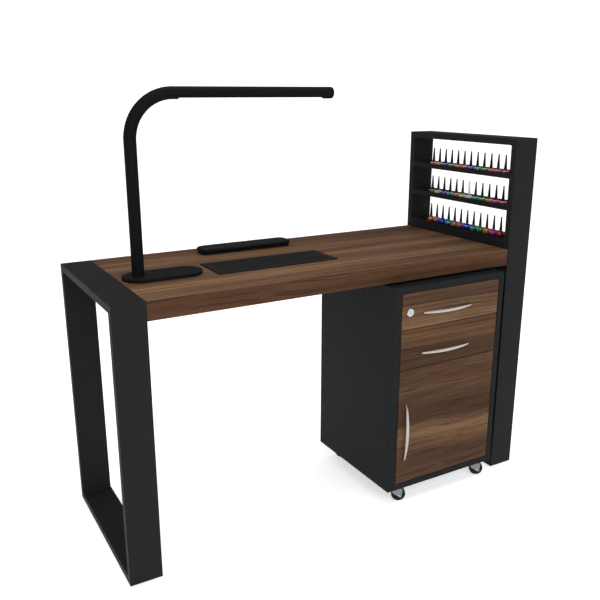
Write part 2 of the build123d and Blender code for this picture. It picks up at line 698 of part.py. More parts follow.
def caster_places():
    """Swivel centres by corner name."""
    return {
        "front_left": (PED_LEFT + CASTER_INSET_X, PED_FRONT + CASTER_INSET_Y),
        "front_right": (PED_RIGHT - CASTER_INSET_X, PED_FRONT + CASTER_INSET_Y),
        "rear_left": (PED_LEFT + CASTER_INSET_X, PED_REAR - CASTER_INSET_Y),
        "rear_right": (PED_RIGHT - CASTER_INSET_X, PED_REAR - CASTER_INSET_Y),
    }


def make_caster_plates():
    plates = Part()
    top = PED_BOTTOM_Z
    for x, y in caster_places().values():
        half = PLATE_SIZE / 2
        plate = block(x - half, x + half, y - half, y + half, top - PLATE_THICK, top)
        plate = rounded(plate, PLATE_CORNER, Axis.Z)
        race_z = FORK_TOP_Z + RACE_GAP
        race = post(x, y, race_z, top - PLATE_THICK, RACE_RADIUS)
        stem = post(x, y, FORK_TOP_Z - FORK_SHEET - STEM_END, race_z, AXLE_RADIUS)
        plates += plate + race + stem
    return plates


def fork_cheek(side):
    """One bent cheek beside the wheel, in the caster's own frame with the trail along +X."""
    inner = WHEEL_WIDTH / 2 + FORK_GAP
    edge = [(FORK_BACK_X, FORK_TOP_Z), (FORK_FRONT_X, FORK_TOP_Z)] + CHEEK_OUTLINE
    outline = Polyline(*[(x, 0, z) for x, z in edge], close=True)
    cheek = extrude(make_face(outline), FORK_SHEET, dir=(0, 1, 0))
    y0 = inner if side > 0 else -inner - FORK_SHEET
    return Pos(0, y0, 0) * cheek


def make_fork(x, y):
    outer = WHEEL_WIDTH / 2 + FORK_GAP + FORK_SHEET
    crown_z = FORK_TOP_Z - FORK_SHEET
    crown = block(FORK_BACK_X, FORK_FRONT_X, -outer, outer, crown_z, FORK_TOP_Z)
    crown -= post(0, 0, crown_z - OVER, FORK_TOP_Z + OVER, AXLE_RADIUS + RUNNING)
    axle = bar_y(CASTER_TRAIL, WHEEL_RADIUS, -outer - AXLE_END, outer + AXLE_END, AXLE_RADIUS)
    fork = crown + fork_cheek(1) + fork_cheek(-1) + axle
    return Pos(x, y, 0) * Rot(0, 0, CASTER_YAW) * fork


def make_wheel(x, y):
    half = WHEEL_WIDTH / 2
    x_axle, z_axle = CASTER_TRAIL, WHEEL_RADIUS
    wheel = bar_y(x_axle, z_axle, -half, half, WHEEL_RADIUS)
    wheel = fillet(wheel.edges(), WHEEL_EDGE_ROUND)
    for y0, y1 in ((-half - OVER, WHEEL_DISH_DEPTH - half), (half - WHEEL_DISH_DEPTH, half + OVER)):
        dish = bar_y(x_axle, z_axle, y0, y1, WHEEL_DISH_RADIUS)
        wheel -= dish - bar_y(x_axle, z_axle, y0, y1, WHEEL_HUB_RADIUS)
    wheel -= bar_y(x_axle, z_axle, -half - OVER, half + OVER, AXLE_RADIUS + RUNNING)
    return Pos(x, y, 0) * Rot(0, 0, CASTER_YAW) * wheel


# Desk lamp

def lamp_origin():
    return LEFT + LAMP_X, FRONT + LAMP_Y


def stadium(inset, z0, z1):
    """A plate with round ends, smaller than the lamp's base by the inset all round."""
    x0, x1 = LEFT + LAMP_BASE_LEFT_X + inset, LEFT + LAMP_BASE_RIGHT_X - inset
    outline = SlotOverall(x1 - x0, LAMP_BASE_WIDTH - 2 * inset)
    return Pos((x0 + x1) / 2, FRONT + LAMP_Y, z0) * extrude(outline, z1 - z0)


def make_lamp_pad():
    z0 = HEIGHT + REST_GAP
    return stadium(LAMP_PAD_INSET, z0, z0 + LAMP_PAD)


def lamp_base_top():
    return HEIGHT + REST_GAP + LAMP_PAD + LAMP_BASE_THICK


def make_lamp_base():
    """A heavy plate with a spigot that the column turns on and a socket hole in its rear edge."""
    top = lamp_base_top()
    base = stadium(0, top - LAMP_BASE_THICK, top)
    base = fillet(base.faces().sort_by(Axis.Z)[-1].edges(), LAMP_BASE_ROUND)
    x, y = lamp_origin()
    base += post(x, y, top - OVER, top + SPIGOT_HEIGHT, LAMP_TUBE_RADIUS - LAMP_WALL - RUNNING)
    return base - lamp_socket_bar(LAMP_SOCKET_DEPTH, 0, LAMP_SOCKET_RADIUS)


def lamp_socket_bar(depth, proud, radius):
    """A bar on the socket's axis, from a depth in the base's rear edge to a little outside it."""
    z = lamp_base_top() - LAMP_BASE_THICK / 2 - LAMP_SOCKET_LOW
    rear = FRONT + LAMP_Y + LAMP_BASE_WIDTH / 2
    return bar_y(LEFT + LAMP_SOCKET_X, z, rear - depth, rear + proud, radius)


def make_lamp_socket():
    """The round low-voltage socket in the base's rear edge."""
    body = lamp_socket_bar(LAMP_SOCKET_DEPTH, LAMP_SOCKET_PROUD, LAMP_SOCKET_RADIUS)
    return body - lamp_socket_bar(LAMP_SOCKET_BORE_DEPTH, LAMP_SOCKET_PROUD + OVER, LAMP_SOCKET_BORE)


def lamp_path():
    x, y = lamp_origin()
    start = (x, y, lamp_base_top() + REST_GAP)
    return FilletPolyline(start, (x, y, LAMP_ARM_Z), (arm_end(), y, LAMP_ARM_Z), radius=LAMP_BEND)


def arm_end():
    return LEFT + LAMP_END_X - LAMP_CAP_LENGTH


def arm_flat(x0, x1, z0, z1, width):
    """A flat bar under or in the arm, as wide to each side of its axis as given."""
    y = FRONT + LAMP_Y
    return block(x0, x1, y - width, y + width, z0, z1)


def make_lamp_tube():
    """The column, elbow and arm in one bent tube, with a flat slot under the arm."""
    path = lamp_path()
    start = Plane(origin=path @ 0, z_dir=path % 0)
    bore = sweep(start * Circle(LAMP_TUBE_RADIUS - LAMP_WALL), path)
    tube = sweep(start * Circle(LAMP_TUBE_RADIUS), path) - bore
    low = LAMP_ARM_Z - LAMP_TUBE_RADIUS
    flat_start, flat_end = LEFT + LAMP_FLAT_START_X, arm_end() + OVER
    return tube - arm_flat(flat_start, flat_end, low - OVER, low + LAMP_FLAT, LAMP_TUBE_RADIUS + OVER)


def arm_round(x0, x1, radius):
    """A round bar on the arm's axis."""
    return axle_x((x0 + x1) / 2, FRONT + LAMP_Y, LAMP_ARM_Z, (x1 - x0) / 2, radius)


def make_diffuser():
    """The frosted cover that closes the flat under the arm."""
    low = LAMP_ARM_Z - LAMP_TUBE_RADIUS + LAMP_FLAT
    x0, x1 = LEFT + LAMP_FLAT_START_X, arm_end()
    cover = arm_flat(x0, x1, low, low + DIFFUSER_THICK, LAMP_TUBE_RADIUS)
    return cover & arm_round(x0, x1, LAMP_TUBE_RADIUS - LAMP_WALL)


def make_led_strip():
    """A narrow board with a row of light emitting chips on its underside."""
    z = LAMP_ARM_Z - LED_BELOW_AXIS
    x0, x1 = LEFT + LAMP_FLAT_START_X + LED_END_GAP, arm_end() - LED_END_GAP
    strip = arm_flat(x0, x1, z, z + LED_BOARD_THICK, LED_BOARD_WIDTH / 2)
    half = LED_SIZE / 2
    for k in range(LED_COUNT):
        xc = x0 + (k + 0.5) * (x1 - x0) / LED_COUNT
        strip += arm_flat(xc - half, xc + half, z - LED_HEIGHT, z, half)
    return strip & arm_round(x0, x1, LAMP_TUBE_RADIUS - LAMP_WALL)


def make_lamp_cap():
    """The rounded end of the arm, with a plug into the tube and a well for the button."""
    x0, x1 = arm_end(), LEFT + LAMP_END_X
    cap = fillet(arm_round(x0, x1, LAMP_TUBE_RADIUS).edges().sort_by(Axis.X)[-1], CAP_ROUND)
    plug = arm_round(x0 - CAP_PLUG, x0, LAMP_TUBE_RADIUS - LAMP_WALL)
    plug -= arm_flat(x0 - CAP_PLUG - OVER, x0, LAMP_ARM_Z - LAMP_TUBE_RADIUS, LAMP_ARM_Z - CAP_PLUG_LOW,
                     LAMP_TUBE_RADIUS)
    return cap + plug - arm_round(x1 - BUTTON_WELL, x1 + OVER, BUTTON_RADIUS + BUTTON_GAP)


def make_lamp_button():
    x1 = LEFT + LAMP_END_X
    button = arm_round(x1 - BUTTON_DEPTH, x1 + BUTTON_PROUD, BUTTON_RADIUS)
    return fillet(button.edges().sort_by(Axis.X)[-1], BUTTON_ROUND)


# Hand rest

def make_rest_board():
    x0 = LEFT + REST_LEFT_X + REST_BOARD_INSET
    y0 = FRONT + REST_FRONT_Y + REST_BOARD_INSET
    x1 = x0 + REST_LENGTH - 2 * REST_BOARD_INSET
    y1 = y0 + REST_WIDTH - 2 * REST_BOARD_INSET
    z0 = HEIGHT + REST_GAP
    return rounded(block(x0, x1, y0, y1, z0, z0 + REST_BOARD), REST_BOARD_CORNER, Axis.Z)


def make_rest_cushion():
    x0 = LEFT + REST_LEFT_X
    y0 = FRONT + REST_FRONT_Y
    z0 = HEIGHT + REST_GAP + REST_BOARD
    pad = block(x0, x0 + REST_LENGTH, y0, y0 + REST_WIDTH, z0, z0 + REST_CUSHION_HEIGHT)
    pad = rounded(pad, REST_CORNER, Axis.Z)
    return fillet(pad.faces().sort_by(Axis.Z)[-1].edges(), REST_TOP_ROUND)


# Dust extractor

def cutout(z0, z1, inset):
    """A block that fills the tabletop's cut-out but for a gap all round."""
    lap = GRILLE_LAP + inset
    return block(GRILLE_LEFT + lap, GRILLE_RIGHT - lap, GRILLE_FRONT + lap, GRILLE_REAR - lap, z0, z1)


def make_grille():
    """A slotted plate that lies on the tabletop, with a rim that locates it in the cut-out."""
    z0 = HEIGHT + REST_GAP
    plate = block(GRILLE_LEFT, GRILLE_RIGHT, GRILLE_FRONT, GRILLE_REAR, z0, z0 + GRILLE_THICK)
    plate = chamfer(plate.faces().sort_by(Axis.Z)[-1].edges(), GRILLE_CHAMFER)
    rim = cutout(z0 - GRILLE_RIM, z0, RIM_CLEARANCE) - cutout(z0 - GRILLE_RIM, z0, RIM_CLEARANCE + RIM_WALL)
    grille = plate + rim
    span = GRILLE_WIDTH - 2 * (GRILLE_LAP + SLOT_SIDE_MARGIN)
    slot_length = (span - (SLOT_ROWS - 1) * SLOT_BRIDGE) / SLOT_ROWS
    count = int((GRILLE_LENGTH - 2 * (GRILLE_LAP + SLOT_END_MARGIN)) / SLOT_PITCH)
    slot = extrude(SlotOverall(slot_length, SLOT_WIDTH, rotation=90), GRILLE_THICK + 2 * OVER)
    slots = []
    for row in range(SLOT_ROWS):
        y = FAN_Y + (row - (SLOT_ROWS - 1) / 2) * (slot_length + SLOT_BRIDGE)
        for k in range(count):
            slots.append(Pos(FAN_X + (k - (count - 1) / 2) * SLOT_PITCH, y, z0 - OVER) * slot)
    return grille - slots


def make_filter():
    z1 = HEIGHT + REST_GAP
    return cutout(z1 - FILTER_HEIGHT, z1, RIM_CLEARANCE + RIM_WALL + FILTER_GAP)


def make_housing():
    """An open-topped box under the tabletop with a vented floor and a boss for the fan's shaft."""
    z0 = HOUSING_BOTTOM_Z
    z1 = HEIGHT - GRILLE_RIM - HOUSING_TOP_GAP
    floor_z = z0 + HOUSING_WALL
    shell = cutout(z0, z1, HOUSING_CLEARANCE) - cutout(floor_z, z1 + OVER, HOUSING_CLEARANCE + HOUSING_WALL)
    flange_z = TOP_BOTTOM_Z - HOUSING_WALL
    flange = cutout(flange_z, TOP_BOTTOM_Z, -HOUSING_FLANGE)
    shell += flange - cutout(flange_z - OVER, TOP_BOTTOM_Z + OVER, HOUSING_CLEARANCE)
    shell -= post(FAN_X, FAN_Y, z0 - OVER, floor_z + OVER, FAN_RADIUS)
    return shell + fan_spider() + switch_ears() - switch_well()


def fan_spider():
    """The boss, spokes and shaft that carry the fan in the housing's round opening."""
    z0, z1 = HOUSING_BOTTOM_Z, HOUSING_BOTTOM_Z + HOUSING_WALL
    reach = FAN_RADIUS + OVER
    half = FAN_SPOKE_WIDTH / 2
    spider = post(FAN_X, FAN_Y, z0, z1, FAN_HUB_RADIUS)
    spider += block(FAN_X - reach, FAN_X + reach, FAN_Y - half, FAN_Y + half, z0, z1)
    spider += block(FAN_X - half, FAN_X + half, FAN_Y - reach, FAN_Y + reach, z0, z1)
    return spider + post(FAN_X, FAN_Y, z1, FAN_BOTTOM_Z + FAN_HEIGHT - FAN_SHAFT_TOP, FAN_SHAFT_RADIUS)


def switch_ears():
    """The two lugs behind the front wall that hold the rocker's axle."""
    x, y, z = switch_place()
    half = SWITCH_WIDTH / 2 + EAR_THICK
    rear = y + SWITCH_AXLE_Y + EAR_THICK
    ears = block(x - half, x + half, y + HOUSING_WALL, rear, z - EAR_HEIGHT / 2, z + EAR_HEIGHT / 2)
    return ears - axle_x(x, y + SWITCH_AXLE_Y, z, half + OVER, SWITCH_AXLE_RADIUS + RUNNING)


def switch_well():
    x, y, z = switch_place()
    half, tall = SWITCH_WIDTH / 2, SWITCH_HEIGHT / 2
    return block(x - half, x + half, y - OVER, y + SWITCH_WELL, z - tall, z + tall)


def make_fan():
    """A hub with twisted blades, turning on the housing's shaft."""
    top_z = FAN_BOTTOM_Z + FAN_HEIGHT
    hub = post(FAN_X, FAN_Y, FAN_BOTTOM_Z, top_z, FAN_HUB_RADIUS)
    hub -= post(FAN_X, FAN_Y, FAN_BOTTOM_Z - OVER, top_z - FAN_CROWN, FAN_SHAFT_RADIUS + RUNNING)
    length = FAN_RADIUS - FAN_HUB_RADIUS
    blade = Rot(BLADE_PITCH, 0, 0) * Box(length, BLADE_CHORD, BLADE_THICK)
    blade = Pos(FAN_HUB_RADIUS + length / 2 - BLADE_ROOT, 0, 0) * blade
    for k in range(FAN_BLADES):
        turn = Rot(0, 0, k * 360 / FAN_BLADES)
        hub += Pos(FAN_X, FAN_Y, FAN_BOTTOM_Z + FAN_HEIGHT / 2) * turn * blade
    return hub


def switch_place():
    """Where the rocker switch meets the outside of the housing's front wall."""
    return GRILLE_LEFT + FITTING_INSET, GRILLE_FRONT + GRILLE_LAP + HOUSING_CLEARANCE, FITTING_Z


def make_fan_switch():
    """A rocker that leans to its off side, with a thin axle through it."""
    x, y, z = switch_place()
    half = SWITCH_WIDTH / 2 - ROCKER_SIDE_GAP
    tall = SWITCH_HEIGHT / 2 - ROCKER_END_GAP
    front = -ROCKER_PROUD - SWITCH_AXLE_Y
    short = tall - ROCKER_TAPER
    profile = Polyline((0, front, -tall), (0, front + ROCKER_DISH, 0), (0, front, tall),
                       (0, ROCKER_BACK, short), (0, ROCKER_BACK, -short), close=True)
    rocker = extrude(make_face(profile), half, dir=(1, 0, 0), both=True)
    rocker += axle_x(0, 0, 0, SWITCH_WIDTH / 2 + SWITCH_AXLE_END, SWITCH_AXLE_RADIUS)
    return Pos(x, y + SWITCH_AXLE_Y, z) * Rot(SWITCH_TILT, 0, 0) * rocker


def make_extractor_socket():
    """The round low-voltage socket on the housing's rear wall."""
    rear = GRILLE_REAR - GRILLE_LAP - HOUSING_CLEARANCE
    x = GRILLE_RIGHT - FITTING_INSET
    end = rear + SOCKET_LENGTH
    socket = bar_y(x, FITTING_Z, rear, end, SOCKET_RADIUS)
    socket -= bar_y(x, FITTING_Z, rear + SOCKET_FLOOR, end + OVER, SOCKET_BORE)
    pin_y = rear + SOCKET_FLOOR
    return socket + bar_y(x, FITTING_Z, pin_y, pin_y + SOCKET_PIN_LENGTH, SOCKET_PIN_RADIUS)


def build_parts():
    parts = {
        "tabletop": make_tabletop(),
        "left_leg_frame": make_left_leg(),
        "right_leg_frame": make_right_leg(),
        "levelling_feet": make_levelling_feet(),
        "top_brackets": make_brackets(),
        "bracket_screws": make_bracket_screws(),
        "rack_base_tray": make_base_tray(),
        "rack_lower_shelf": make_shelf(LOWER_SHELF_Z),
        "rack_upper_shelf": make_shelf(UPPER_SHELF_Z),
        "pedestal_left_side": make_left_side(),
        "pedestal_right_side": make_side(PED_RIGHT - BOARD, PED_RIGHT),
        "pedestal_top": make_ped_top(),
        "pedestal_bottom": make_ped_bottom(),
        "pedestal_back": make_ped_back(),
        "pedestal_boards": make_ped_boards(),
        "cabinet_rails": make_cabinet_rails(),
        "drawer_1_front": make_drawer_front(DRAWER_1_BOTTOM_Z, DRAWER_1_TOP_Z) - lock_hole(),
        "drawer_1_box": make_drawer_box(DRAWER_1_BOTTOM_Z) - lock_notch(),
        "drawer_1_rails": make_drawer_rails(DRAWER_1_BOTTOM_Z),
        "drawer_1_handle": make_drawer_handle(DRAWER_1_HANDLE_Z),
        "drawer_2_front": make_drawer_front(DRAWER_2_BOTTOM_Z, DRAWER_2_TOP_Z),
        "drawer_2_box": make_drawer_box(DRAWER_2_BOTTOM_Z),
        "drawer_2_rails": make_drawer_rails(DRAWER_2_BOTTOM_Z),
        "drawer_2_handle": make_drawer_handle(DRAWER_2_HANDLE_Z),
        "lock_barrel": make_lock_barrel(),
        "lock_cam": make_lock_cam(),
        "door_panel": make_door(),
        "door_handle": make_door_handle(),
        "door_pivots": make_door_pivots(),
        "caster_plates": make_caster_plates(),
        "lamp_base": make_lamp_base(),
        "lamp_base_pad": make_lamp_pad(),
        "lamp_power_socket": make_lamp_socket(),
        "lamp_tube": make_lamp_tube(),
        "lamp_diffuser": make_diffuser(),
        "lamp_led_strip": make_led_strip(),
        "lamp_end_cap": make_lamp_cap(),
        "lamp_button": make_lamp_button(),
        "hand_rest_board": make_rest_board(),
        "hand_rest_cushion": make_rest_cushion(),
        "extractor_grille": make_grille(),
        "extractor_filter": make_filter(),
        "extractor_housing": make_housing(),
        "extractor_fan": make_fan(),
        "extractor_switch": make_fan_switch(),
        "extractor_power_socket": make_extractor_socket(),
    }
    floors = {"base": BASE_TRAY_FLOOR_Z, "lower": LOWER_SHELF_Z + SHEET, "upper": UPPER_SHELF_Z + SHEET}
    for name, floor_z in floors.items():
        parts[f"bottles_{name}_row"] = bottle_row(floor_z)
        parts[f"caps_{name}_row"] = cap_row(floor_z)
    for name, (x, y) in caster_places().items():
        parts[f"caster_fork_{name}"] = make_fork(x, y)
        parts[f"caster_wheel_{name}"] = make_wheel(x, y)
    return parts


if __name__ == "__main__":
    os.makedirs("parts", exist_ok=True)
    for name, shape in build_parts().items():
        export_step(shape, f"parts/{name}.step")
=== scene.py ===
import math
import bmesh
import bpy
from mathutils import Matrix, Vector
from mathutils.bvhtree import BVHTree


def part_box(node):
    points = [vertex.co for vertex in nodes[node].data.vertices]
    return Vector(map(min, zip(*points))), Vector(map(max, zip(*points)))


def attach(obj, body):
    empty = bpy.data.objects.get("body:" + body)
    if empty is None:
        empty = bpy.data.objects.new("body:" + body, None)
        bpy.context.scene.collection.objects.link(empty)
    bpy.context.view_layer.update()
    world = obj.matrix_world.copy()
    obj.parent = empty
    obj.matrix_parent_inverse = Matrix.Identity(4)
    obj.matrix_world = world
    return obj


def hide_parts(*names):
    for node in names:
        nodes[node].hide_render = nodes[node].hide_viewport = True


# The looks of the manicure table: materials on the CAD pieces, and finer meshes in the place of some.
# Lengths are in metres unless a comment says otherwise.

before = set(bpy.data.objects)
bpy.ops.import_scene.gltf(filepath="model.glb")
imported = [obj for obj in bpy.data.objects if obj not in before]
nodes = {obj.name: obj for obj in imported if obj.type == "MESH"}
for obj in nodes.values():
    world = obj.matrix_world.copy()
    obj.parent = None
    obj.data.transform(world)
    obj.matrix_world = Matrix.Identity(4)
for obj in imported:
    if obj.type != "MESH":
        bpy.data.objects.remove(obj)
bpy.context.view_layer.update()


# ---------------------------------------------------------------- shader helpers

class Shader:
    """A material's node tree with short calls for the nodes used below."""

    def __init__(self, name):
        self.material = bpy.data.materials.new(name)
        self.material.use_nodes = True
        self.tree = self.material.node_tree
        self.tree.nodes.clear()
        out = self.tree.nodes.new("ShaderNodeOutputMaterial")
        self.bsdf = self.tree.nodes.new("ShaderNodeBsdfPrincipled")
        self.link(self.bsdf.outputs[0], out.inputs["Surface"])

    def link(self, a, b):
        self.tree.links.new(a, b)

    def feed(self, socket, value):
        """Sets a socket to a plain value, or links another node's output to it."""
        if isinstance(value, bpy.types.NodeSocket):
            self.link(value, socket)
        elif isinstance(value, (tuple, list)) and len(value) == 3 and socket.type == "RGBA":
            socket.default_value = (*value, 1.0)
        else:
            socket.default_value = value

    def node(self, kind, settings=None, **inputs):
        n = self.tree.nodes.new(kind)
        for key, value in (settings or {}).items():
            setattr(n, key, value)
        for key, value in inputs.items():
            self.feed(n.inputs[key.replace("_", " ")], value)
        return n

    def coords(self, scale=(1, 1, 1), location=(0, 0, 0)):
        """Object coordinates in metres, scaled and shifted."""
        tex = self.node("ShaderNodeTexCoord")
        mapping = self.node("ShaderNodeMapping", Vector=tex.outputs["Object"])
        mapping.inputs["Scale"].default_value = scale
        mapping.inputs["Location"].default_value = location
        return mapping.outputs[0]

    def noise(self, vector, scale, detail, rough):
        n = self.node("ShaderNodeTexNoise", Vector=vector, Scale=scale, Detail=detail, Roughness=rough)
        return n.outputs["Fac"]

    def ramp(self, value, stops):
        """A colour ramp through (position, colour or grey) stops."""
        n = self.node("ShaderNodeValToRGB", Fac=value)
        ramp = n.color_ramp
        while len(ramp.elements) < len(stops):
            ramp.elements.new(0.5)
        for element, (position, colour) in zip(ramp.elements, stops):
            element.position = position
            if isinstance(colour, (int, float)):
                colour = (colour, colour, colour)
            element.color = (*colour, 1.0)
        return n.outputs["Color"]

    def mix(self, fac, a, b, blend="MIX"):
        n = self.tree.nodes.new("ShaderNodeMix")
        n.data_type = "RGBA"
        n.blend_type = blend
        self.feed(n.inputs[0], fac)
        self.feed(n.inputs[6], a)
        self.feed(n.inputs[7], b)
        return n.outputs[2]

    def math(self, op, a, b=0.0):
        n = self.tree.nodes.new("ShaderNodeMath")
        n.operation = op
        self.feed(n.inputs[0], a)
        self.feed(n.inputs[1], b)
        return n.outputs[0]

    def bump(self, height, strength, distance):
        n = self.node("ShaderNodeBump", Height=height, Strength=strength, Distance=distance)
        self.link(n.outputs[0], self.bsdf.inputs["Normal"])

    def set(self, **values):
        for key, value in values.items():
            self.feed(self.bsdf.inputs[key.replace("_", " ")], value)


def srgb(r, g, b):
    """A colour given as 0 to 255 values on screen, as linear light."""
    def linear(c):
        c /= 255.0
        return c / 12.92 if c <= 0.04045 else ((c + 0.055) / 1.055) ** 2.4
    return linear(r), linear(g), linear(b)


# ---------------------------------------------------------------- materials

# Walnut's colours from dark lines to pale wood, each at its place in the mixed shade of the grain.
WALNUT_COLOURS = ((0.16, (54, 37, 28)), (0.42, (82, 60, 44)), (0.62, (104, 78, 56)), (0.84, (134, 105, 76)))
WALNUT_REDDENED = (0.95, 0.72, 0.62)
WALNUT_FADED = (1.9, 1.85, 1.7)
FADE_FROM_X, FADE_TO_X = 0.35, -0.55  # where the fading starts and where it is full
FIBRE_SHARE = 0.30        # the fibres' part in the mixed shade
LINE_DEPTH = 0.50
PORE_DEPTH = 0.35
LINE_DARKNESS = 0.62      # of the darkest walnut colour


def walnut(name, seed, tone, wander=0.03, warmth=0.35, figure=0.42, edge=None, pale_left=0.0):
    """Walnut with its grain along X: wide soft bands, streaks and fine dark lines on one wandering flow.

    A larger figure gives the streaks more weight against the wide bands. edge darkens and reddens the strips
    that face the front and rear, as painted shade on those faces, and pale_left fades the face towards the
    left end; both belong to the tabletop only."""
    s = Shader(name)
    place = s.node("ShaderNodeTexCoord").outputs["Object"]
    slow = s.coords(scale=(2.3, 5.5, 5.5), location=(seed, seed * 0.7, seed * 1.3))
    drift = s.node("ShaderNodeTexNoise", Vector=slow, Scale=1.0, Detail=2.0, Roughness=0.4)
    flow = s.node("ShaderNodeVectorMath", {"operation": "MULTIPLY_ADD"})
    s.feed(flow.inputs[0], drift.outputs["Color"])
    flow.inputs[1].default_value = (0.0, wander, wander)
    s.feed(flow.inputs[2], place)

    def grain(along, across, detail, rough, shift):
        stretched = s.node("ShaderNodeMapping", Vector=flow.outputs[0])
        stretched.inputs["Scale"].default_value = (along, across, across)
        stretched.inputs["Location"].default_value = (seed + shift, seed * 0.3, seed * 0.9)
        return s.noise(stretched.outputs[0], 1.0, detail, rough)

    bands = s.ramp(grain(0.6, 11.0, 2.0, 0.4, 0.0), [(0.28, 0.0), (0.72, 1.0)])
    streaks = s.ramp(grain(1.3, 75.0, 3.0, 0.6, 3.0), [(0.24, 0.0), (0.76, 1.0)])
    fibres = grain(3.5, 340.0, 3.0, 0.65, 7.0)
    lines = s.ramp(grain(1.6, 170.0, 2.0, 0.5, 11.0), [(0.37, 1.0), (0.44, 0.0)])
    pores = s.ramp(grain(38.0, 1150.0, 1.0, 0.5, 13.0), [(0.33, 1.0), (0.42, 0.0)])

    shade = s.mix(FIBRE_SHARE, s.mix(figure, bands, streaks), fibres)
    colours = [(position, tuple(tone * c for c in srgb(*rgb))) for position, rgb in WALNUT_COLOURS]
    colour = s.ramp(shade, colours)
    warm = s.noise(s.coords(scale=(1.5, 9.0, 9.0), location=(seed, seed, 0)), 1.0, 1.0, 0.5)
    colour = s.mix(s.ramp(warm, [(0.40, 0.0), (0.70, warmth)]), colour, WALNUT_REDDENED, "MULTIPLY")
    dark = tuple(LINE_DARKNESS * c for c in colours[0][1])
    colour = s.mix(s.math("MULTIPLY", lines, LINE_DEPTH), colour, dark)
    colour = s.mix(s.math("MULTIPLY", pores, PORE_DEPTH), colour, dark)
    if edge:
        along = s.node("ShaderNodeSeparateXYZ", Vector=place).outputs["X"]
        fade = s.node("ShaderNodeMapRange", Value=along, From_Min=FADE_FROM_X, From_Max=FADE_TO_X,
                      To_Min=0.0, To_Max=pale_left)
        face = s.mix(fade.outputs[0], colour, s.mix(1.0, colour, WALNUT_FADED, "MULTIPLY"))
        facing = s.node("ShaderNodeSeparateXYZ", Vector=s.node("ShaderNodeNewGeometry").outputs["Normal"])
        sideways = s.math("GREATER_THAN", s.math("ABSOLUTE", facing.outputs["Y"]), 0.5)
        # Painted shade: the faces that point to the front or rear take the darker, redder edge tint.
        colour = s.mix(sideways, face, s.mix(1.0, colour, edge, "MULTIPLY"))
    s.set(Base_Color=colour, Roughness=s.ramp(fibres, [(0.25, 0.50), (0.75, 0.62)]), Specular_IOR_Level=0.05)
    s.bump(s.mix(0.5, fibres, s.math("SUBTRACT", 1.0, pores)), 0.15, 0.0003)
    return s.material


def powder_coat(name, rgb, rough=0.55):
    """Sprayed black paint with a very fine orange-peel texture."""
    s = Shader(name)
    base = srgb(*rgb)
    v = s.coords()
    blotch = s.noise(v, 9.0, 3.0, 0.6)
    colour = s.mix(s.math("MULTIPLY", blotch, 0.35), base, tuple(c * 1.35 for c in base))
    peel = s.noise(v, 900.0, 2.0, 0.6)
    s.set(Base_Color=colour, Roughness=s.ramp(blotch, [(0.25, rough - 0.05), (0.75, rough + 0.06)]),
          Specular_IOR_Level=0.04)
    s.bump(peel, 0.22, 0.0002)
    return s.material


def laminate(name, rgb):
    """Board faced with a plain laminate that has a faint pebbled print."""
    s = Shader(name)
    base = srgb(*rgb)
    v = s.coords()
    cells = s.node("ShaderNodeTexVoronoi", Vector=v, Scale=420.0)
    fleck = s.noise(v, 60.0, 3.0, 0.6)
    colour = s.mix(s.math("MULTIPLY", fleck, 0.3), base, tuple(c * 1.4 for c in base))
    s.set(Base_Color=colour, Roughness=s.ramp(fleck, [(0.3, 0.46), (0.7, 0.56)]),
          Specular_IOR_Level=0.04)
    s.bump(cells.outputs["Distance"], 0.15, 0.0002)
    return s.material


def brushed(name, rgb, rough, along):
    """Metal with fine lines along one axis: 0, 1 or 2 for X, Y or Z."""
    s = Shader(name)
    base = srgb(*rgb)
    stretch = [600.0, 600.0, 600.0]
    stretch[along] = 12.0
    lines = s.noise(s.coords(scale=stretch), 1.0, 3.0, 0.6)
    smear = s.noise(s.coords(), 30.0, 2.0, 0.5)
    colour = s.mix(s.math("MULTIPLY", smear, 0.25), base, tuple(c * 0.82 for c in base))
    s.set(Base_Color=colour, Metallic=1.0,
          Roughness=s.ramp(lines, [(0.25, rough - 0.06), (0.75, rough + 0.09)]))
    s.bump(lines, 0.06, 0.0001)
    return s.material


def plastic(name, rgb, rough=0.45, grain=1400.0, bump=0.12):
    """Moulded plastic with a fine spark-eroded texture."""
    s = Shader(name)
    base = srgb(*rgb)
    v = s.coords()
    cloud = s.noise(v, 18.0, 3.0, 0.5)
    s.set(Base_Color=s.mix(s.math("MULTIPLY", cloud, 0.3), base, tuple(c * 1.3 for c in base)),
          Roughness=s.ramp(cloud, [(0.3, rough - 0.05), (0.7, rough + 0.06)]), Specular_IOR_Level=0.12)
    s.bump(s.noise(v, grain, 2.0, 0.5), bump, 0.0002)
    return s.material


def leatherette(name, tone):
    """Soft grained artificial leather; a smaller tone is blacker."""
    s = Shader(name)
    v = s.coords()
    warp = s.node("ShaderNodeTexNoise", Vector=v, Scale=240.0, Detail=2.0)
    shaken = s.node("ShaderNodeMix", {"data_type": "VECTOR"})
    s.feed(shaken.inputs[0], 0.004)
    s.link(v, shaken.inputs[4])
    s.link(warp.outputs["Color"], shaken.inputs[5])
    cells = s.node("ShaderNodeTexVoronoi", {"feature": "DISTANCE_TO_EDGE"}, Vector=shaken.outputs[1],
                   Scale=520.0)
    crease_and_shade = s.ramp(cells.outputs["Distance"], [(0.0, 0.0), (0.16, 1.0)])
    wear = s.noise(v, 26.0, 4.0, 0.6)
    base = tuple(tone * c for c in srgb(22, 22, 23))
    colour = s.mix(s.math("MULTIPLY", wear, 0.5), base, tuple(tone * c for c in srgb(32, 32, 34)))
    # Painted shade: the grain's creases are darkened towards near black.
    colour = s.mix(s.math("MULTIPLY", s.math("SUBTRACT", 1.0, crease_and_shade), 0.6), colour, srgb(10, 10, 10))
    s.set(Base_Color=colour, Roughness=s.ramp(wear, [(0.3, 0.42), (0.75, 0.58)]), Specular_IOR_Level=0.10)
    s.bump(crease_and_shade, 0.35, 0.0004)
    return s.material


# ---------------------------------------------------------------- studio

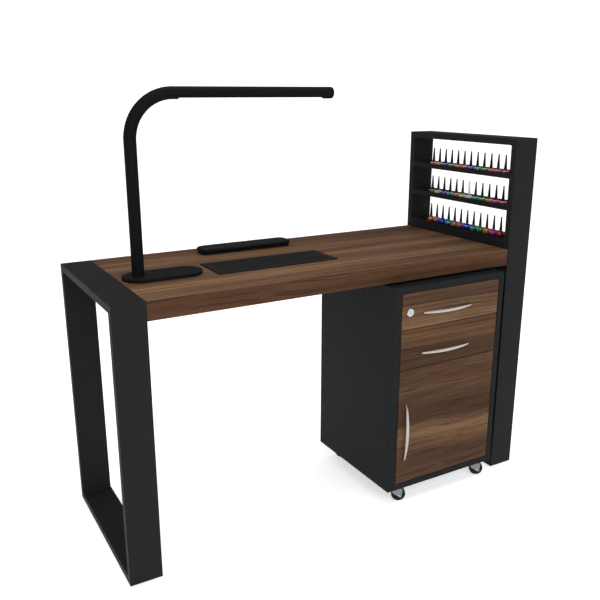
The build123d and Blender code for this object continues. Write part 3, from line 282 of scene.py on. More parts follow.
def stage_ring(name, profile, paper, centre=False):
    """A piece of the stage turned about Z from its (radius, z) profile, with a disc inside it if asked."""
    segments = 72
    bm = bmesh.new()
    rings = []
    for radius, z in profile:
        turns = [math.tau * k / segments for k in range(segments)]
        rings.append([bm.verts.new((radius * math.cos(t), radius * math.sin(t), z)) for t in turns])
    if centre:
        bm.faces.new(rings[0])
    for low, high in zip(rings, rings[1:]):
        for k in range(segments):
            bm.faces.new((low[k], low[k - 1], high[k - 1], high[k]))
    ring = mesh_object(name, bm, paper)
    return ring


def studio():
    """A pale floor that curves up into a wall all round, and soft lights.

    Glossy rays pass through the wall, so dark gloss shows the lights and not a white haze."""
    flat, bend, height, steps = 7.0, 2.0, 7.0, 10
    paper = Shader("pale_floor")
    paper.set(Base_Color=(0.72, 0.72, 0.72), Roughness=0.95, Specular_IOR_Level=0.0,
              Emission_Color=(1, 1, 1), Emission_Strength=0.53)
    stage_ring("floor", [(flat * 0.5, 0.0), (flat, 0.0)], paper.material, centre=True)
    profile = [(flat, 0.0)]
    for k in range(1, steps + 1):
        angle = math.pi / 2 * k / steps
        profile.append((flat + bend * math.sin(angle), bend * (1 - math.cos(angle))))
    profile.append((flat + bend, height))
    wall = stage_ring("wall", profile, paper.material)
    wall.visible_glossy = False

    world = bpy.data.worlds.new("studio")
    world.use_nodes = True
    world.node_tree.nodes["Background"].inputs["Color"].default_value = (1, 1, 1, 1)
    world.node_tree.nodes["Background"].inputs["Strength"].default_value = 0.15
    bpy.context.scene.world = world
    area("key", place=(-0.4, -4.8, 3.2), target=(0, 0, 0.6), size=(4.5, 2.5), power=115)
    area("top", place=(0.0, 0.0, 5.5), target=(0, 0, 0), size=(6.0, 6.0), power=300)
    bpy.context.scene.view_settings.view_transform = "Standard"


def area(name, place, target, size, power):
    """A rectangular soft light; power is in watts."""
    data = bpy.data.lights.new(name, "AREA")
    data.shape = "RECTANGLE"
    data.size, data.size_y = size
    data.energy = power
    light = bpy.data.objects.new(name, data)
    bpy.context.scene.collection.objects.link(light)
    light.location = place
    aim = Vector(target) - Vector(place)
    light.rotation_euler = aim.to_track_quat("-Z", "Y").to_euler()


CAMERA_LENS = 43.404       # millimetres, on the sensor width below
CAMERA_SENSOR = 36.0
CAMERA_LEFT = 0.4119       # from the left leg frame's outer face
CAMERA_FORWARD = 1.5815    # from the left leg frame's front face
CAMERA_HEIGHT = 1.2178
CAMERA_AZIMUTH = math.radians(29.95)
CAMERA_ELEVATION = math.radians(-15.993)


def camera():
    data = bpy.data.cameras.new("camera")
    data.lens = CAMERA_LENS
    data.sensor_width = CAMERA_SENSOR
    data.clip_end = 100.0
    cam = bpy.data.objects.new("camera", data)
    bpy.context.scene.collection.objects.link(cam)
    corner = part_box("left_leg_frame")[0]
    cam.location = (corner.x - CAMERA_LEFT, corner.y - CAMERA_FORWARD, CAMERA_HEIGHT)
    level = math.cos(CAMERA_ELEVATION)
    look = Vector((math.sin(CAMERA_AZIMUTH) * level, math.cos(CAMERA_AZIMUTH) * level,
                   math.sin(CAMERA_ELEVATION)))
    cam.rotation_euler = look.to_track_quat("-Z", "Y").to_euler()
    bpy.context.scene.camera = cam


# ---------------------------------------------------------------- mesh helpers

def smooth_object(name, mesh):
    """A new object in the scene, shaded smooth."""
    for polygon in mesh.polygons:
        polygon.use_smooth = True
    made = bpy.data.objects.new(name, mesh)
    bpy.context.scene.collection.objects.link(made)
    return made


def mesh_object(name, bm, *materials):
    """A new object in the scene from a bmesh, with its materials in slot order."""
    mesh = bpy.data.meshes.new(name)
    bm.to_mesh(mesh)
    bm.free()
    for material in materials:
        mesh.materials.append(material)
    return smooth_object(name, mesh)


def put(piece, body, material_slot, *replaced):
    """Says which body a finished piece rides on and hides the CAD pieces that it stands for; material_slot
    is not used.
    """
    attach(piece, body)
    if replaced:
        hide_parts(*replaced)


def lathe(bm, outline, place, segments, slot=0):
    """Adds a solid turned about the place's own Z, from (radius, height) points, pole to pole.

    A third value in a point waves that ring's radius into six lobes."""
    rings = []
    for radius, height, *wave in outline:
        if radius == 0:
            rings.append([bm.verts.new(place @ Vector((0, 0, height)))])
            continue
        ring = []
        for k in range(segments):
            t = math.tau * k / segments
            r = radius * (1 + (wave[0] if wave else 0) * math.cos(6 * t))
            ring.append(bm.verts.new(place @ Vector((r * math.cos(t), r * math.sin(t), height))))
        rings.append(ring)
    for low, high in zip(rings, rings[1:]):
        for k in range(segments):
            after = k + 1
            below = (low[k % len(low)], low[after % len(low)])
            above = (high[after % len(high)], high[k % len(high)])
            face = bm.faces.new(dict.fromkeys(below + above))
            face.material_index = slot


def loft(bm, rings, slot=0):
    """Adds a closed solid through rings of points of equal length."""
    made = [[bm.verts.new(point) for point in ring] for ring in rings]
    faces = [bm.faces.new(list(reversed(made[0]))), bm.faces.new(made[-1])]
    for low, high in zip(made, made[1:]):
        for k in range(len(low)):
            faces.append(bm.faces.new((low[k - 1], low[k], high[k], high[k - 1])))
    for face in faces:
        face.material_index = slot
    bmesh.ops.recalc_face_normals(bm, faces=faces)


def tube(bm, path, radius, sides, closed=False):
    """Adds a round tube along a list of points."""
    count = len(path)
    rings = []
    normal = None
    for k, point in enumerate(path):
        ahead = path[(k + 1) % count] if closed or k < count - 1 else point
        behind = path[k - 1] if closed or k > 0 else point
        along = (ahead - behind).normalized()
        if normal is None:
            normal = along.orthogonal().normalized()
        normal = (normal - along * normal.dot(along)).normalized()
        side = along.cross(normal)
        turns = [math.tau * j / sides for j in range(sides)]
        spokes = [math.cos(t) * normal + math.sin(t) * side for t in turns]
        rings.append([bm.verts.new(point + radius * spoke) for spoke in spokes])
    pairs = list(zip(rings, rings[1:]))
    if closed:
        pairs.append((rings[-1], rings[0]))
    for low, high in pairs:
        for j in range(sides):
            bm.faces.new((low[j - 1], low[j], high[j], high[j - 1]))
    if not closed:
        bm.faces.new(list(reversed(rings[0])))
        bm.faces.new(rings[-1])


def round_rectangle(low, high, radius):
    """Points round a rectangle with rounded corners in X and Y, counterclockwise."""
    steps = 8
    points = []
    corners = ((high[0] - radius, high[1] - radius, 0), (low[0] + radius, high[1] - radius, 1),
               (low[0] + radius, low[1] + radius, 2), (high[0] - radius, low[1] + radius, 3))
    for x, y, quarter in corners:
        for k in range(steps + 1):
            angle = math.pi / 2 * (quarter + k / steps)
            points.append((x + radius * math.cos(angle), y + radius * math.sin(angle)))
    return points


def soften(width, *names):
    """Rounds the sharp edges of CAD pieces a little, as pressed, sawn or cast edges are."""
    for name in names:
        piece = nodes[name]
        flat = piece.modifiers.new("merge_flats", "DECIMATE")
        flat.decimate_type = "DISSOLVE"
        flat.angle_limit = math.radians(0.5)
        bevel = piece.modifiers.new("edges", "BEVEL")
        bevel.width = width
        bevel.segments = 2
        bevel.limit_method = "ANGLE"
        bevel.angle_limit = math.radians(40)
        bevel.harden_normals = True


# ---------------------------------------------------------------- polish bottles

POLISH = {
    "orange": (208, 116, 50), "peach": (214, 156, 112), "blue": (30, 40, 205), "teal": (20, 150, 150),
    "green": (20, 160, 70), "scarlet": (222, 60, 36), "magenta": (190, 30, 150), "red": (190, 14, 26),
    "cream": (232, 204, 150), "dark": (40, 34, 40), "mauve": (160, 96, 120), "white": (236, 232, 226),
}
ROWS = {
    "upper": "red magenta scarlet green teal blue orange orange teal blue peach orange".split(),
    "lower": "red magenta orange green teal white cream orange teal blue cream dark".split(),
    "base": "red magenta orange green teal blue mauve orange teal blue mauve orange".split(),
}
FILL_LEVEL = {"upper": 0.50, "lower": 0.53, "base": 0.76}  # share of a bottle's height
BOTTLE_WALL = 0.0011
LEAST_LACQUER_RADIUS = 0.0005

# Shapes as (share of the bottle's radius, share of its height), from the foot up.
BULB = ((0.50, 0.0), (0.72, 0.06), (0.95, 0.22), (1.0, 0.42), (0.88, 0.60), (0.55, 0.75), (0.32, 0.85))
NECK = ((0.27, 0.90), (0.27, 1.0), (0.0, 1.0))
BASE_HOLLOW = 0.002        # this and the next three are shares of the bottle's height
LACQUER_FLOOR = 0.03
LACQUER_FROM = 0.08
CAP_FOOT = 0.86

# The cap's collar as (share of the bottle's radius, height above the cap's foot).
CAP_COLLAR = ((0.0, 0.0), (0.36, 0.0), (0.375, 0.0006), (0.375, 0.004), (0.34, 0.0046), (0.34, 0.0052),
              (0.36, 0.0058))
CAP_TAPER = 0.20           # how far the grip narrows, as a share of the bottle's radius
CAP_TAPER_CURVE = 0.85     # 1 is a straight cone; less is hollow
CAP_TIP_LENGTH = 0.0014
CAP_TIP = ((0.13, 0.0005), (0.07, 0.0), (0.0, 0.0))  # (share of the radius, depth below the tip)


def polish(name, rgb):
    """Nail lacquer: a deep gloss with fine pearl in it."""
    s = Shader(name)
    base = srgb(*rgb)
    pearl = s.noise(s.coords(), 2600.0, 1.0, 0.5)
    sink = s.noise(s.coords(), 90.0, 2.0, 0.5)
    bright = tuple(min(1.0, 1.7 * c + 0.05) for c in base)
    colour = s.mix(s.ramp(pearl, [(0.55, 0.0), (0.75, 0.35)]), base, bright)
    colour = s.mix(s.math("MULTIPLY", sink, 0.3), colour, tuple(0.6 * c for c in base))
    s.set(Base_Color=colour, Roughness=s.ramp(pearl, [(0.3, 0.10), (0.8, 0.22)]), Specular_IOR_Level=0.5,
          Coat_Weight=0.6, Coat_Roughness=0.04)
    return s.material


def bottle_glass():
    s = Shader("bottle_glass")
    flow = s.noise(s.coords(), 140.0, 2.0, 0.5)
    s.set(Base_Color=(0.97, 0.98, 0.98), Transmission_Weight=1.0, IOR=1.45,
          Roughness=s.ramp(flow, [(0.3, 0.0), (0.8, 0.05)]))
    s.bump(flow, 0.05, 0.0003)
    return s.material


def cap_material(name, rgb):
    """Hard glossy moulded plastic with faint upright flow lines."""
    s = Shader(name)
    base = srgb(*rgb)
    lines = s.noise(s.coords(scale=(500.0, 500.0, 30.0)), 1.0, 2.0, 0.5)
    s.set(Base_Color=s.mix(s.math("MULTIPLY", lines, 0.4), base, tuple(1.3 * c for c in base)),
          Roughness=s.ramp(lines, [(0.3, 0.24), (0.8, 0.36)]), Specular_IOR_Level=0.3)
    s.bump(lines, 0.08, 0.0001)
    return s.material


def smooth_outline(points):
    """More points on a smooth curve through the given (radius, height) points."""
    steps = 5
    path = [points[0]]
    for k in range(len(points) - 1):
        before = points[max(k - 1, 0)]
        after = points[min(k + 2, len(points) - 1)]
        for j in range(1, steps + 1):
            t = j / steps
            path.append(tuple(
                0.5 * (2 * points[k][i] + (points[k + 1][i] - before[i]) * t
                       + (2 * before[i] - 5 * points[k][i] + 4 * points[k + 1][i] - after[i]) * t * t
                       + (3 * points[k][i] - before[i] - 3 * points[k + 1][i] + after[i]) * t ** 3)
                for i in (0, 1)))
    return path


def bottle_outlines(radius, tall, fill_share):
    """Outlines of the glass and of the lacquer in it, as (radius, height) points."""
    bulb = smooth_outline([(r * radius, h * tall) for r, h in BULB])
    glass = [(0, BASE_HOLLOW * tall)] + bulb + [(r * radius, h * tall) for r, h in NECK]
    lowest, level = LACQUER_FROM * tall, fill_share * tall
    lacquer = [(0, LACQUER_FLOOR * tall + BOTTLE_WALL)]
    lacquer += [(max(r - BOTTLE_WALL, LEAST_LACQUER_RADIUS), z) for r, z in bulb if lowest < z < level]
    lacquer += [(0, lacquer[-1][1])]
    return glass, lacquer


def cap_outline(radius, foot, tip):
    """Outline of a cap whose collar starts at the height foot and whose tip is at the height tip."""
    cap = [(r * radius, foot + h) for r, h in CAP_COLLAR]
    rim, start = CAP_COLLAR[-1]
    grip = tip - CAP_TIP_LENGTH - foot - start
    steps = 8
    for k in range(1, steps + 1):
        t = k / steps
        cap.append(((rim - CAP_TAPER * t ** CAP_TAPER_CURVE) * radius, foot + start + t * grip))
    return cap + [(r * radius, tip - h) for r, h in CAP_TIP]


def bottle_rows():
    """Glass bottles with lacquer in them, each with a tall tapered cap."""
    glass = bottle_glass()
    lacquers = {name: polish("polish_" + name, rgb) for name, rgb in POLISH.items()}
    black_cap = cap_material("cap_black", (18, 18, 19))
    pale_cap = cap_material("cap_pale", (228, 224, 217))
    for row, colours in ROWS.items():
        low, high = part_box(f"bottles_{row}_row")
        cap_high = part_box(f"caps_{row}_row")[1]
        radius = (high.x - low.x) / 2
        x = (low.x + high.x) / 2
        pitch = (high.y - low.y - 2 * radius) / (len(colours) - 1)
        tall = high.z - low.z
        outer, fill = bottle_outlines(radius, tall, FILL_LEVEL[row])
        cap = cap_outline(radius, CAP_FOOT * tall, cap_high.z - low.z)
        shells, fills, caps = bmesh.new(), bmesh.new(), bmesh.new()
        for k, colour in enumerate(colours):
            place = Matrix.Translation((x, low.y + radius + k * pitch, low.z))
            lathe(shells, outer, place, segments=28)
            lathe(fills, fill, place, segments=28, slot=k)
            lathe(caps, cap, place, segments=20, slot=1 if colour == "white" else 0)
        shell = mesh_object(f"polish_glass_{row}", shells, glass)
        filled = mesh_object(f"polish_lacquer_{row}", fills, *(lacquers[colour] for colour in colours))
        capped = mesh_object(f"polish_caps_{row}", caps, black_cap, pale_cap)
        body = f"{row}_row_bottles"
        put(shell, body, "polish_glass", f"bottles_{row}_row")
        put(filled, body, "polish_glass")
        put(capped, body, "cap_plastic", f"caps_{row}_row")


# ---------------------------------------------------------------- handles

STRAP_THICK = 0.0036
STRAP_END_WIDTH = 0.38     # share of the strap's full width
SHOULDER_REACH = 0.0075    # from the front to the outside of the shoulder

# A foot of the handle as (distance in from the handle's end, distance out from the front).
BOW_FOOT = ((0.0022, 0.0), (0.0026, 0.0022), (0.0036, 0.0040), (0.0060, 0.0052))
BOW_INSET = 0.0072         # from the handle's end to where the bow starts

# Powers that square the strap's section off: 1 is an ellipse, 0 a rectangle.
WIDTH_SQUARING, THICKNESS_SQUARING = 0.55, 0.75


def bow_path(half, reach):
    """Centre line of a bow handle as (along, out) points: foot, shoulder, bow, shoulder, foot."""
    shoulder = SHOULDER_REACH - STRAP_THICK / 2
    crest = reach - STRAP_THICK / 2
    side = [(half - inset, out) for inset, out in BOW_FOOT]
    bow = []
    steps = 32
    for k in range(1, steps):
        t = 1 - 2 * k / steps
        bow.append(((half - BOW_INSET) * t, shoulder + (crest - shoulder) * (1 - t * t)))
    return side + bow + [(-u, v) for u, v in reversed(side)]


def bow_handle(name, node, body, metal, upright=False):
    """A cast bow handle with a leaf-shaped strap, standing on a front at the CAD handle's place."""
    low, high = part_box(node)
    wide, length_axis = (0, 2) if upright else (2, 0)
    half = (high[length_axis] - low[length_axis]) / 2
    centre = (low + high) / 2
    reach = high.y - low.y
    width = high[wide] - low[wide]
    path = bow_path(half, reach)
    rings = []
    for k, (u, v) in enumerate(path):
        ahead = path[min(k + 1, len(path) - 1)]
        behind = path[max(k - 1, 0)]
        along = Vector((ahead[0] - behind[0], ahead[1] - behind[1])).normalized()
        across = Vector((-along.y, along.x))
        leaf = width * (STRAP_END_WIDTH + (1 - STRAP_END_WIDTH) * (1 - (u / half) ** 2))
        ring = []
        sides = 20
        for j in range(sides):
            angle = math.tau * j / sides
            c, s = math.cos(angle), math.sin(angle)
            w = leaf / 2 * math.copysign(abs(c) ** WIDTH_SQUARING, c)
            t = STRAP_THICK / 2 * math.copysign(abs(s) ** THICKNESS_SQUARING, s)
            flat_point = Vector((u, v)) + across * t
            point = Vector((0, 0, 0))
            point[length_axis] = centre[length_axis] + flat_point.x
            point[wide] = centre[wide] + w
            point.y = high.y - flat_point.y
            ring.append(point)
        rings.append(ring)
    bm = bmesh.new()
    loft(bm, rings)
    put(mesh_object(name, bm, metal), body, "satin_nickel", node)


def handles():
    nickel = (172, 167, 161)
    level_metal = brushed("satin_nickel", nickel, rough=0.30, along=0)
    upright_metal = brushed("satin_nickel_upright", nickel, rough=0.30, along=2)
    bow_handle("drawer_1_bow", "drawer_1_handle", "drawer_1", level_metal)
    bow_handle("drawer_2_bow", "drawer_2_handle", "drawer_2", level_metal)
    bow_handle("door_bow", "door_handle", "door", upright_metal, upright=True)


# ---------------------------------------------------------------- casters

CORNERS = ("front_left", "front_right", "rear_left", "rear_right")
FORKS = [f"caster_fork_{corner}" for corner in CORNERS]
CASTER_YAW = math.radians(-30)
WHEEL_HALF = 0.009         # half of a wheel's width
CHEEK_FACE = WHEEL_HALF + 0.0032  # from the wheel's middle to the outside of the fork

# Half sections of a wheel, as (share of its radius, share of its half width), ending at the middle.
TREAD = ((0.70, 0.80), (0.74, 0.96), (0.84, 1.0), (0.93, 0.93), (0.985, 0.70), (1.0, 0.35))
TREAD_CLOSED_AT = 0.5      # share of the half width
DISC = ((0.0, 0.86), (0.17, 0.86), (0.21, 0.80), (0.25, 0.55), (0.58, 0.50), (0.64, 0.80), (0.70, 0.84),
        (0.715, 0.70))
RIBS = 6
RIB_ENDS = (0.20, 0.66)    # shares of the wheel's radius

# A rib's section as (half thickness, share of the wheel's half width).
RIB_SECTION = ((-0.0012, 0.40), (0.0012, 0.40), (0.0008, 0.76), (-0.0008, 0.76))

# An axle rivet's head as (radius, height over the fork's face).
RIVET_HEAD = ((0, -0.001), (0.0044, -0.001), (0.0044, 0.0003), (0.0036, 0.0011), (0.0018, 0.0015),
              (0, 0.0016))


def both_sides(half_section):
    """A whole section from the half that lies below the wheel's middle."""
    return half_section + [(r, -h) for r, h in reversed(half_section)]


def wheel_solids(bm, place, radius):
    """Adds a tyre, and a dished hub with ribs on both of its sides."""
    rim = both_sides([(r * radius, -h * WHEEL_HALF) for r, h in TREAD])
    closed = TREAD_CLOSED_AT * WHEEL_HALF
    lathe(bm, [(0, -closed)] + rim + [(0, closed)], place, segments=48)
    lathe(bm, both_sides([(r * radius, -h * WHEEL_HALF) for r, h in DISC]), place, segments=40, slot=1)
    for side in (-1, 1):
        for k in range(RIBS):
            spin = place @ Matrix.Rotation(math.tau * k / RIBS, 4, "Z")
            rings = []
            for r in (end * radius for end in RIB_ENDS):
                rings.append([spin @ Vector((r, y, side * z * WHEEL_HALF)) for y, z in RIB_SECTION])
            loft(bm, rings, slot=1)


def casters():
    """Nylon wheels with a softer tyre, and a rivet head on each side of each fork."""
    tyre = plastic("caster_tyre", (20, 20, 21), rough=0.6, grain=900.0, bump=0.2)
    hub = plastic("caster_hub", (34, 34, 36), rough=0.4)
    rivet_steel = brushed("rivet_steel", (170, 170, 172), rough=0.3, along=1)
    axle_turn = Matrix.Rotation(CASTER_YAW, 4, "Z") @ Matrix.Rotation(math.radians(-90), 4, "X")
    for corner in CORNERS:
        low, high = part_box(f"caster_wheel_{corner}")
        radius = (high.z - low.z) / 2
        place = Matrix.Translation((low + high) / 2) @ axle_turn
        bm = bmesh.new()
        wheel_solids(bm, place, radius)
        wheel = mesh_object(f"wheel_{corner}_tyre_and_hub", bm, tyre, hub)
        put(wheel, f"wheel_{corner}", "wheel_nylon", f"caster_wheel_{corner}")

        bm = bmesh.new()
        head = [(r, CHEEK_FACE + h) for r, h in RIVET_HEAD]
        for turn in (math.pi, 0):
            lathe(bm, head, place @ Matrix.Rotation(turn, 4, "X"), segments=20)
        rivets = mesh_object(f"axle_rivets_{corner}", bm, rivet_steel)
        put(rivets, f"caster_{corner}", "grey_steel")


# ---------------------------------------------------------------- hand rest

# The plain slab that the pad is blown up from lies this far inside the CAD cushion.
SLAB_INSET = 0.0006
SLAB_LIFT = 0.0002         # over the board
SLAB_DROP = 0.0012         # below the cushion's top
SLAB_CORNER = 0.0160
HELD_HEIGHT = 0.003        # the part that stays flat on the board
SWELL = 0.0013             # the farthest that any point moves
SETTLING_FRAMES = 20

SEAM_DROP = 0.0062         # from the cushion's top to the piping
PIPING_RADIUS = 0.0010
PIPING_LIFT = 0.0001       # from the pad's surface to the piping's middle
PIPING_POINTS = 220
STITCH_DROP = 0.0030       # from the piping to the stitches
STITCHES = 210
STITCH_RISE = 0.00025      # twice this is how far a stitch's middle stands off the pad
THREAD_RADIUS = 0.00028

# The outline round the pad from which the seam's points are found.
SEARCH_MARGIN, SEARCH_CORNER = 0.004, 0.024


def settled_cushion(points, bottom, top):
    """A stuffed pad: a plain slab remeshed, then blown up by cloth pressure with its base held flat."""
    bm = bmesh.new()
    loft(bm, [[(x, y, bottom) for x, y in points], [(x, y, top) for x, y in points]])
    slab = mesh_object("cushion_slab", bm)
    remesh = slab.modifiers.new("remesh", "REMESH")
    remesh.mode = "VOXEL"
    remesh.voxel_size = 0.0042
    mesh = bpy.data.meshes.new_from_object(slab.evaluated_get(bpy.context.evaluated_depsgraph_get()))
    bpy.data.objects.remove(slab)
    pad = bpy.data.objects.new("cushion_pad", mesh)
    bpy.context.scene.collection.objects.link(pad)
    rest = [v.co.copy() for v in mesh.vertices]
    held = pad.vertex_groups.new(name="held")
    held.add([v.index for v in mesh.vertices if v.co.z < bottom + HELD_HEIGHT], 1.0, "REPLACE")
    cloth = pad.modifiers.new("cloth", "CLOTH")
    cloth.settings.vertex_group_mass = "held"
    cloth.settings.use_pressure = True
    cloth.settings.uniform_pressure_force = 4.0
    cloth.settings.effector_weights.gravity = 0.0
    cloth.settings.tension_stiffness = 25.0
    cloth.settings.compression_stiffness = 25.0
    cloth.settings.bending_stiffness = 1.5
    for number in range(1, SETTLING_FRAMES + 1):
        bpy.context.scene.frame_set(number)
    graph = bpy.context.evaluated_depsgraph_get()
    blown = bpy.data.meshes.new_from_object(pad.evaluated_get(graph))
    pad.modifiers.clear()
    for vertex, start, end in zip(mesh.vertices, rest, blown.vertices):
        move = end.co - start
        if move.length > SWELL:
            move *= SWELL / move.length
        vertex.co = start + move
    bpy.data.meshes.remove(blown)
    bpy.context.scene.frame_set(1)
    return pad


def smoothed_pad(low, high):
    """The pad's mesh as a new object, with the simulated cushion evened out."""
    plan = round_rectangle((low.x + SLAB_INSET, low.y + SLAB_INSET),
                           (high.x - SLAB_INSET, high.y - SLAB_INSET), SLAB_CORNER)
    pad = settled_cushion(plan, low.z + SLAB_LIFT, high.z - SLAB_DROP)
    smooth = pad.modifiers.new("even_out", "CORRECTIVE_SMOOTH")
    smooth.iterations = 4
    smooth.use_only_smooth = True
    finer = pad.modifiers.new("finer", "SUBSURF")
    finer.levels = finer.render_levels = 1
    graph = bpy.context.evaluated_depsgraph_get()
    mesh = bpy.data.meshes.new_from_object(pad.evaluated_get(graph))
    bpy.data.objects.remove(pad)
    return smooth_object("hand_rest_pad", mesh)


def hand_rest():
    """The leatherette pad with piping and a line of stitches round its upper edge."""
    low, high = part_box("hand_rest_cushion")
    pad = smoothed_pad(low, high)
    mesh = pad.data
    mesh.materials.append(leatherette("black_leather", tone=0.44))
    put(pad, "hand_rest", "black_leather", "hand_rest_cushion")

    surface = BVHTree.FromPolygons([v.co for v in mesh.vertices], [tuple(q.vertices) for q in mesh.polygons])

    def round_the_pad(height, count):
        """Places and normals on the pad's side at one height, evenly spaced along the plan."""
        outline = [Vector((x, y, height)) for x, y in round_rectangle(
            (low.x - SEARCH_MARGIN, low.y - SEARCH_MARGIN), (high.x + SEARCH_MARGIN, high.y + SEARCH_MARGIN),
            SEARCH_CORNER)]
        lengths = [(outline[k] - outline[k - 1]).length for k in range(len(outline))]
        step = sum(lengths) / count
        points, walked, goal = [], 0.0, 0.0
        for k, length in enumerate(lengths):
            while goal < walked + length and len(points) < count:
                t = (goal - walked) / length
                points.append(outline[k - 1].lerp(outline[k], t))
                goal += step
            walked += length
        return [surface.find_nearest(point)[:2] for point in points]

    seam_height = high.z - SEAM_DROP
    bm = bmesh.new()
    path = [point + normal * PIPING_LIFT for point, normal in round_the_pad(seam_height, PIPING_POINTS)]
    tube(bm, path, PIPING_RADIUS, sides=8, closed=True)
    piping = mesh_object("hand_rest_piping", bm, leatherette("piping_leather", tone=0.38))
    put(piping, "hand_rest", "black_leather")

    bm = bmesh.new()
    places = round_the_pad(seam_height - STITCH_DROP, STITCHES * 2)
    for (start, start_normal), (end, end_normal) in zip(places[0::2], places[1::2]):
        middle = (start + end) / 2 + (start_normal + end_normal) * STITCH_RISE
        tube(bm, [start, middle, end], THREAD_RADIUS, sides=6)
    thread = mesh_object("hand_rest_stitches", bm, plastic("thread", (34, 34, 36), rough=0.7))
    put(thread, "hand_rest", "black_leather")


# ---------------------------------------------------------------- screws and guards

# A screw's pan head as (share of its radius, share of its height, and how deep the recess's lobes wave).
LOBES = 0.14
HEAD_OUTLINE = ((1.0, 0.0), (1.0, 0.25), (0.93, 0.60), (0.76, 0.87), (0.52, 1.0), (0.42, 1.0, LOBES),
                (0.39, 0.35, LOBES), (0.0, 0.28))

# A screw's shank from its point, as (share of the head's radius, share of its length below the head).
SHANK_OUTLINE = ((0.0, 1.0), (0.12, 1.0), (0.48, 0.35), (0.48, 0.0))

WOOD_SCREW = {"radius": 0.004, "height": 0.0022, "shank": 0.018}
PLATE_SCREW = {"radius": 0.0034, "height": 0.0018}
HOUSING_SCREW = {"radius": 0.0032, "height": 0.0018}
BRACKET_THICK = 0.003
PLATE_SIZE = 0.040
PLATE_SCREW_INSET = 0.0055
PLATE_THICK = 0.0025
FLANGE_THICK = 0.002
FLANGE_SCREW_INSET_X, FLANGE_SCREW_INSET_Y = 0.03, 0.006


def screw(bm, place, radius, height, shank=0.0):
    """Adds a pan head with a six-lobed recess facing the place's own +Z, and a shank below it."""
    head = [(r * radius, h * height, *wave) for r, h, *wave in HEAD_OUTLINE]
    foot = [(r * radius, -h * shank) for r, h in SHANK_OUTLINE] if shank else [(0, 0)]
    lathe(bm, foot + head, place, segments=36)


def screws(steel, black):
    """Wood screws under the tabletop, in the caster plates and in the extractor's flange."""
    down = Matrix.Rotation(math.pi, 4, "X")
    low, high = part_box("bracket_screws")
    under_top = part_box("tabletop")[0].z
    edge = WOOD_SCREW["radius"]
    first_y, last_y = low.y + edge, high.y - edge
    bm = bmesh.new()
    for x in (low.x + edge, high.x - edge):
        for k in range(4):
            y = first_y + (last_y - first_y) * k / 3
            screw(bm, Matrix.Translation((x, y, under_top - BRACKET_THICK)) @ down, **WOOD_SCREW)
    put(mesh_object("bracket_wood_screws", bm, steel), "frame", "zinc_steel", "bracket_screws")

    bm = bmesh.new()
    low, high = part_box("caster_plates")
    near, far = PLATE_SCREW_INSET, PLATE_SIZE - PLATE_SCREW_INSET
    for x0 in (low.x, high.x - PLATE_SIZE):
        for y0 in (low.y, high.y - PLATE_SIZE):
            for x in (x0 + near, x0 + far):
                for y in (y0 + near, y0 + far):
                    screw(bm, Matrix.Translation((x, y, high.z - PLATE_THICK)) @ down, **PLATE_SCREW)
    put(mesh_object("caster_plate_screws", bm, steel), "pedestal", "zinc_steel")

    bm = bmesh.new()
    low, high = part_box("extractor_housing")
    for k in range(4):
        x = low.x + FLANGE_SCREW_INSET_X + (high.x - low.x - 2 * FLANGE_SCREW_INSET_X) * k / 3
        for y in (low.y + FLANGE_SCREW_INSET_Y, high.y - FLANGE_SCREW_INSET_Y):
            screw(bm, Matrix.Translation((x, y, under_top - FLANGE_THICK)) @ down, **HOUSING_SCREW)
    put(mesh_object("housing_screws", bm, black), "frame", "zinc_steel")


GUARD_RINGS = 5
GUARD_FIRST_RADIUS = 0.0120
GUARD_PITCH = 0.0085
GUARD_WIRE, GUARD_SPOKE_WIRE = 0.0008, 0.0010  # radii
GUARD_GAP = 0.0009         # from the housing's underside to the rings' middle
GUARD_SPOKE_DROP = 0.0008  # from the rings' middle to the spokes' middle
GUARD_SPOKE_FROM, GUARD_SPOKE_TO = 0.0105, 0.0500


def fan_guard(steel):
    """A wire guard under the fan's opening: rings on four spokes."""
    low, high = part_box("extractor_fan")
    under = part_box("extractor_housing")[0].z
    centre = Vector(((low.x + high.x) / 2, (low.y + high.y) / 2, under - GUARD_GAP))
    bm = bmesh.new()
    for k in range(GUARD_RINGS):
        radius = GUARD_FIRST_RADIUS + GUARD_PITCH * k
        turns = [math.tau * j / 64 for j in range(64)]
        ring = [centre + Vector((radius * math.cos(t), radius * math.sin(t), 0)) for t in turns]
        tube(bm, ring, GUARD_WIRE, sides=8, closed=True)
    hub = centre + Vector((0, 0, -GUARD_SPOKE_DROP))
    for k in range(4):
        turn = math.pi / 2 * (k + 0.5)
        out = Vector((math.cos(turn), math.sin(turn), 0))
        tube(bm, [hub + out * GUARD_SPOKE_FROM, hub + out * GUARD_SPOKE_TO], GUARD_SPOKE_WIRE, sides=8)
    put(mesh_object("fan_guard", bm, steel), "frame", "zinc_steel")


# ---------------------------------------------------------------- the CAD pieces' looks

def paint(material, *names):
    for name in names:
        mesh = nodes[name].data
        mesh.materials.clear()
        mesh.materials.append(material)


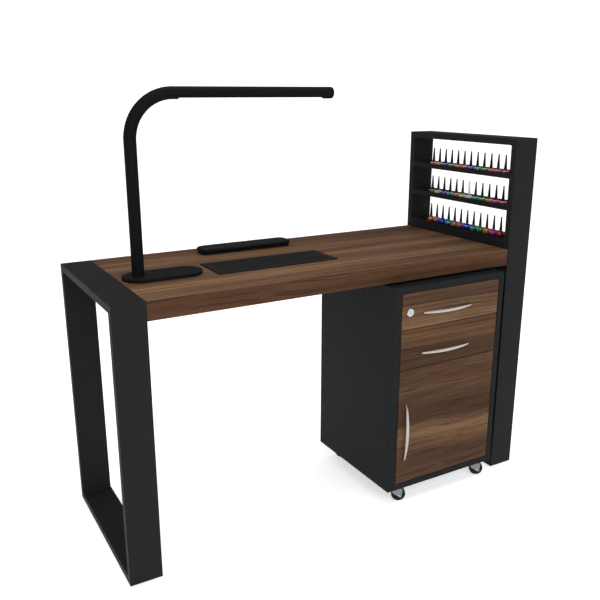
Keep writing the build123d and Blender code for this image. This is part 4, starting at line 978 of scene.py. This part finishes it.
def paint_cad():
    # The top's edge tint is painted shade on its front and rear faces.
    paint(walnut("walnut_top", seed=6.4, tone=0.84, figure=0.32, edge=(0.68, 0.60, 0.57), pale_left=0.35),
          "tabletop")
    paint(walnut("walnut_drawer_1", seed=69.13, tone=0.78, wander=0.012, warmth=0.0, figure=0.52),
          "drawer_1_front")
    paint(walnut("walnut_drawer_2", seed=66.39, tone=0.60, wander=0.012, warmth=0.5), "drawer_2_front")
    paint(walnut("walnut_door", seed=6.11, tone=0.69, wander=0.05, warmth=0.3, figure=0.36), "door_panel")
    paint(powder_coat("black_steel", (29, 29, 29)), "left_leg_frame", "right_leg_frame", "top_brackets")
    paint(powder_coat("black_sheet", (26, 26, 26)), "rack_base_tray", "rack_lower_shelf", "rack_upper_shelf")
    paint(plastic("black_rubber", (28, 28, 28), rough=0.8), "levelling_feet", "lamp_base_pad")
    paint(laminate("black_board", (24, 26, 27)), "pedestal_left_side", "pedestal_right_side", "pedestal_top",
          "pedestal_bottom", "pedestal_back", "pedestal_boards", "hand_rest_board")
    paint(laminate("drawer_board", (196, 192, 184)), "drawer_1_box", "drawer_2_box")
    zinc = brushed("zinc_steel", (190, 190, 192), rough=0.35, along=1)
    black_zinc = brushed("black_zinc", (40, 40, 42), rough=0.45, along=2)
    paint(zinc, "cabinet_rails", "drawer_1_rails", "drawer_2_rails", "caster_plates")
    paint(black_zinc, "door_pivots")
    screws(zinc, black_zinc)
    fan_guard(zinc)
    paint(brushed("chrome_plate", (180, 180, 181), rough=0.22, along=1), "lock_barrel", "lock_cam")
    paint(powder_coat("lamp_black", (15, 15, 15), rough=0.6), "lamp_tube", "lamp_end_cap")
    paint(powder_coat("lamp_base_black", (19, 19, 19), rough=0.6), "lamp_base")
    paint(plastic("black_plastic", (30, 30, 30)), "lamp_button", "lamp_power_socket", "extractor_housing",
          "extractor_fan", "extractor_switch", "extractor_power_socket")
    paint(plastic("frosted_cover", (225, 225, 222), rough=0.5), "lamp_diffuser", "lamp_led_strip")
    paint(powder_coat("grille_black", (26, 26, 27), rough=0.6), "extractor_grille")
    paint(plastic("filter_foam", (10, 10, 10), rough=0.9), "extractor_filter")
    paint(powder_coat("grey_steel", (120, 120, 122), rough=0.4), *FORKS)


def soften_cad():
    """Breaks the edges: most on the welded frames and the thick top, least on pressed steel."""
    soften(0.0008, "left_leg_frame", "right_leg_frame", "tabletop")
    soften(0.0004, "rack_base_tray", "rack_lower_shelf", "rack_upper_shelf", "top_brackets")
    soften(0.0006, "pedestal_left_side", "pedestal_right_side", "pedestal_top", "pedestal_bottom",
           "pedestal_back", "pedestal_boards", "drawer_1_box", "drawer_2_box", "drawer_1_front",
           "drawer_2_front", "door_panel")
    soften(0.0003, *FORKS)


studio()
camera()
paint_cad()
bottle_rows()
handles()
casters()
hand_rest()
soften_cad()
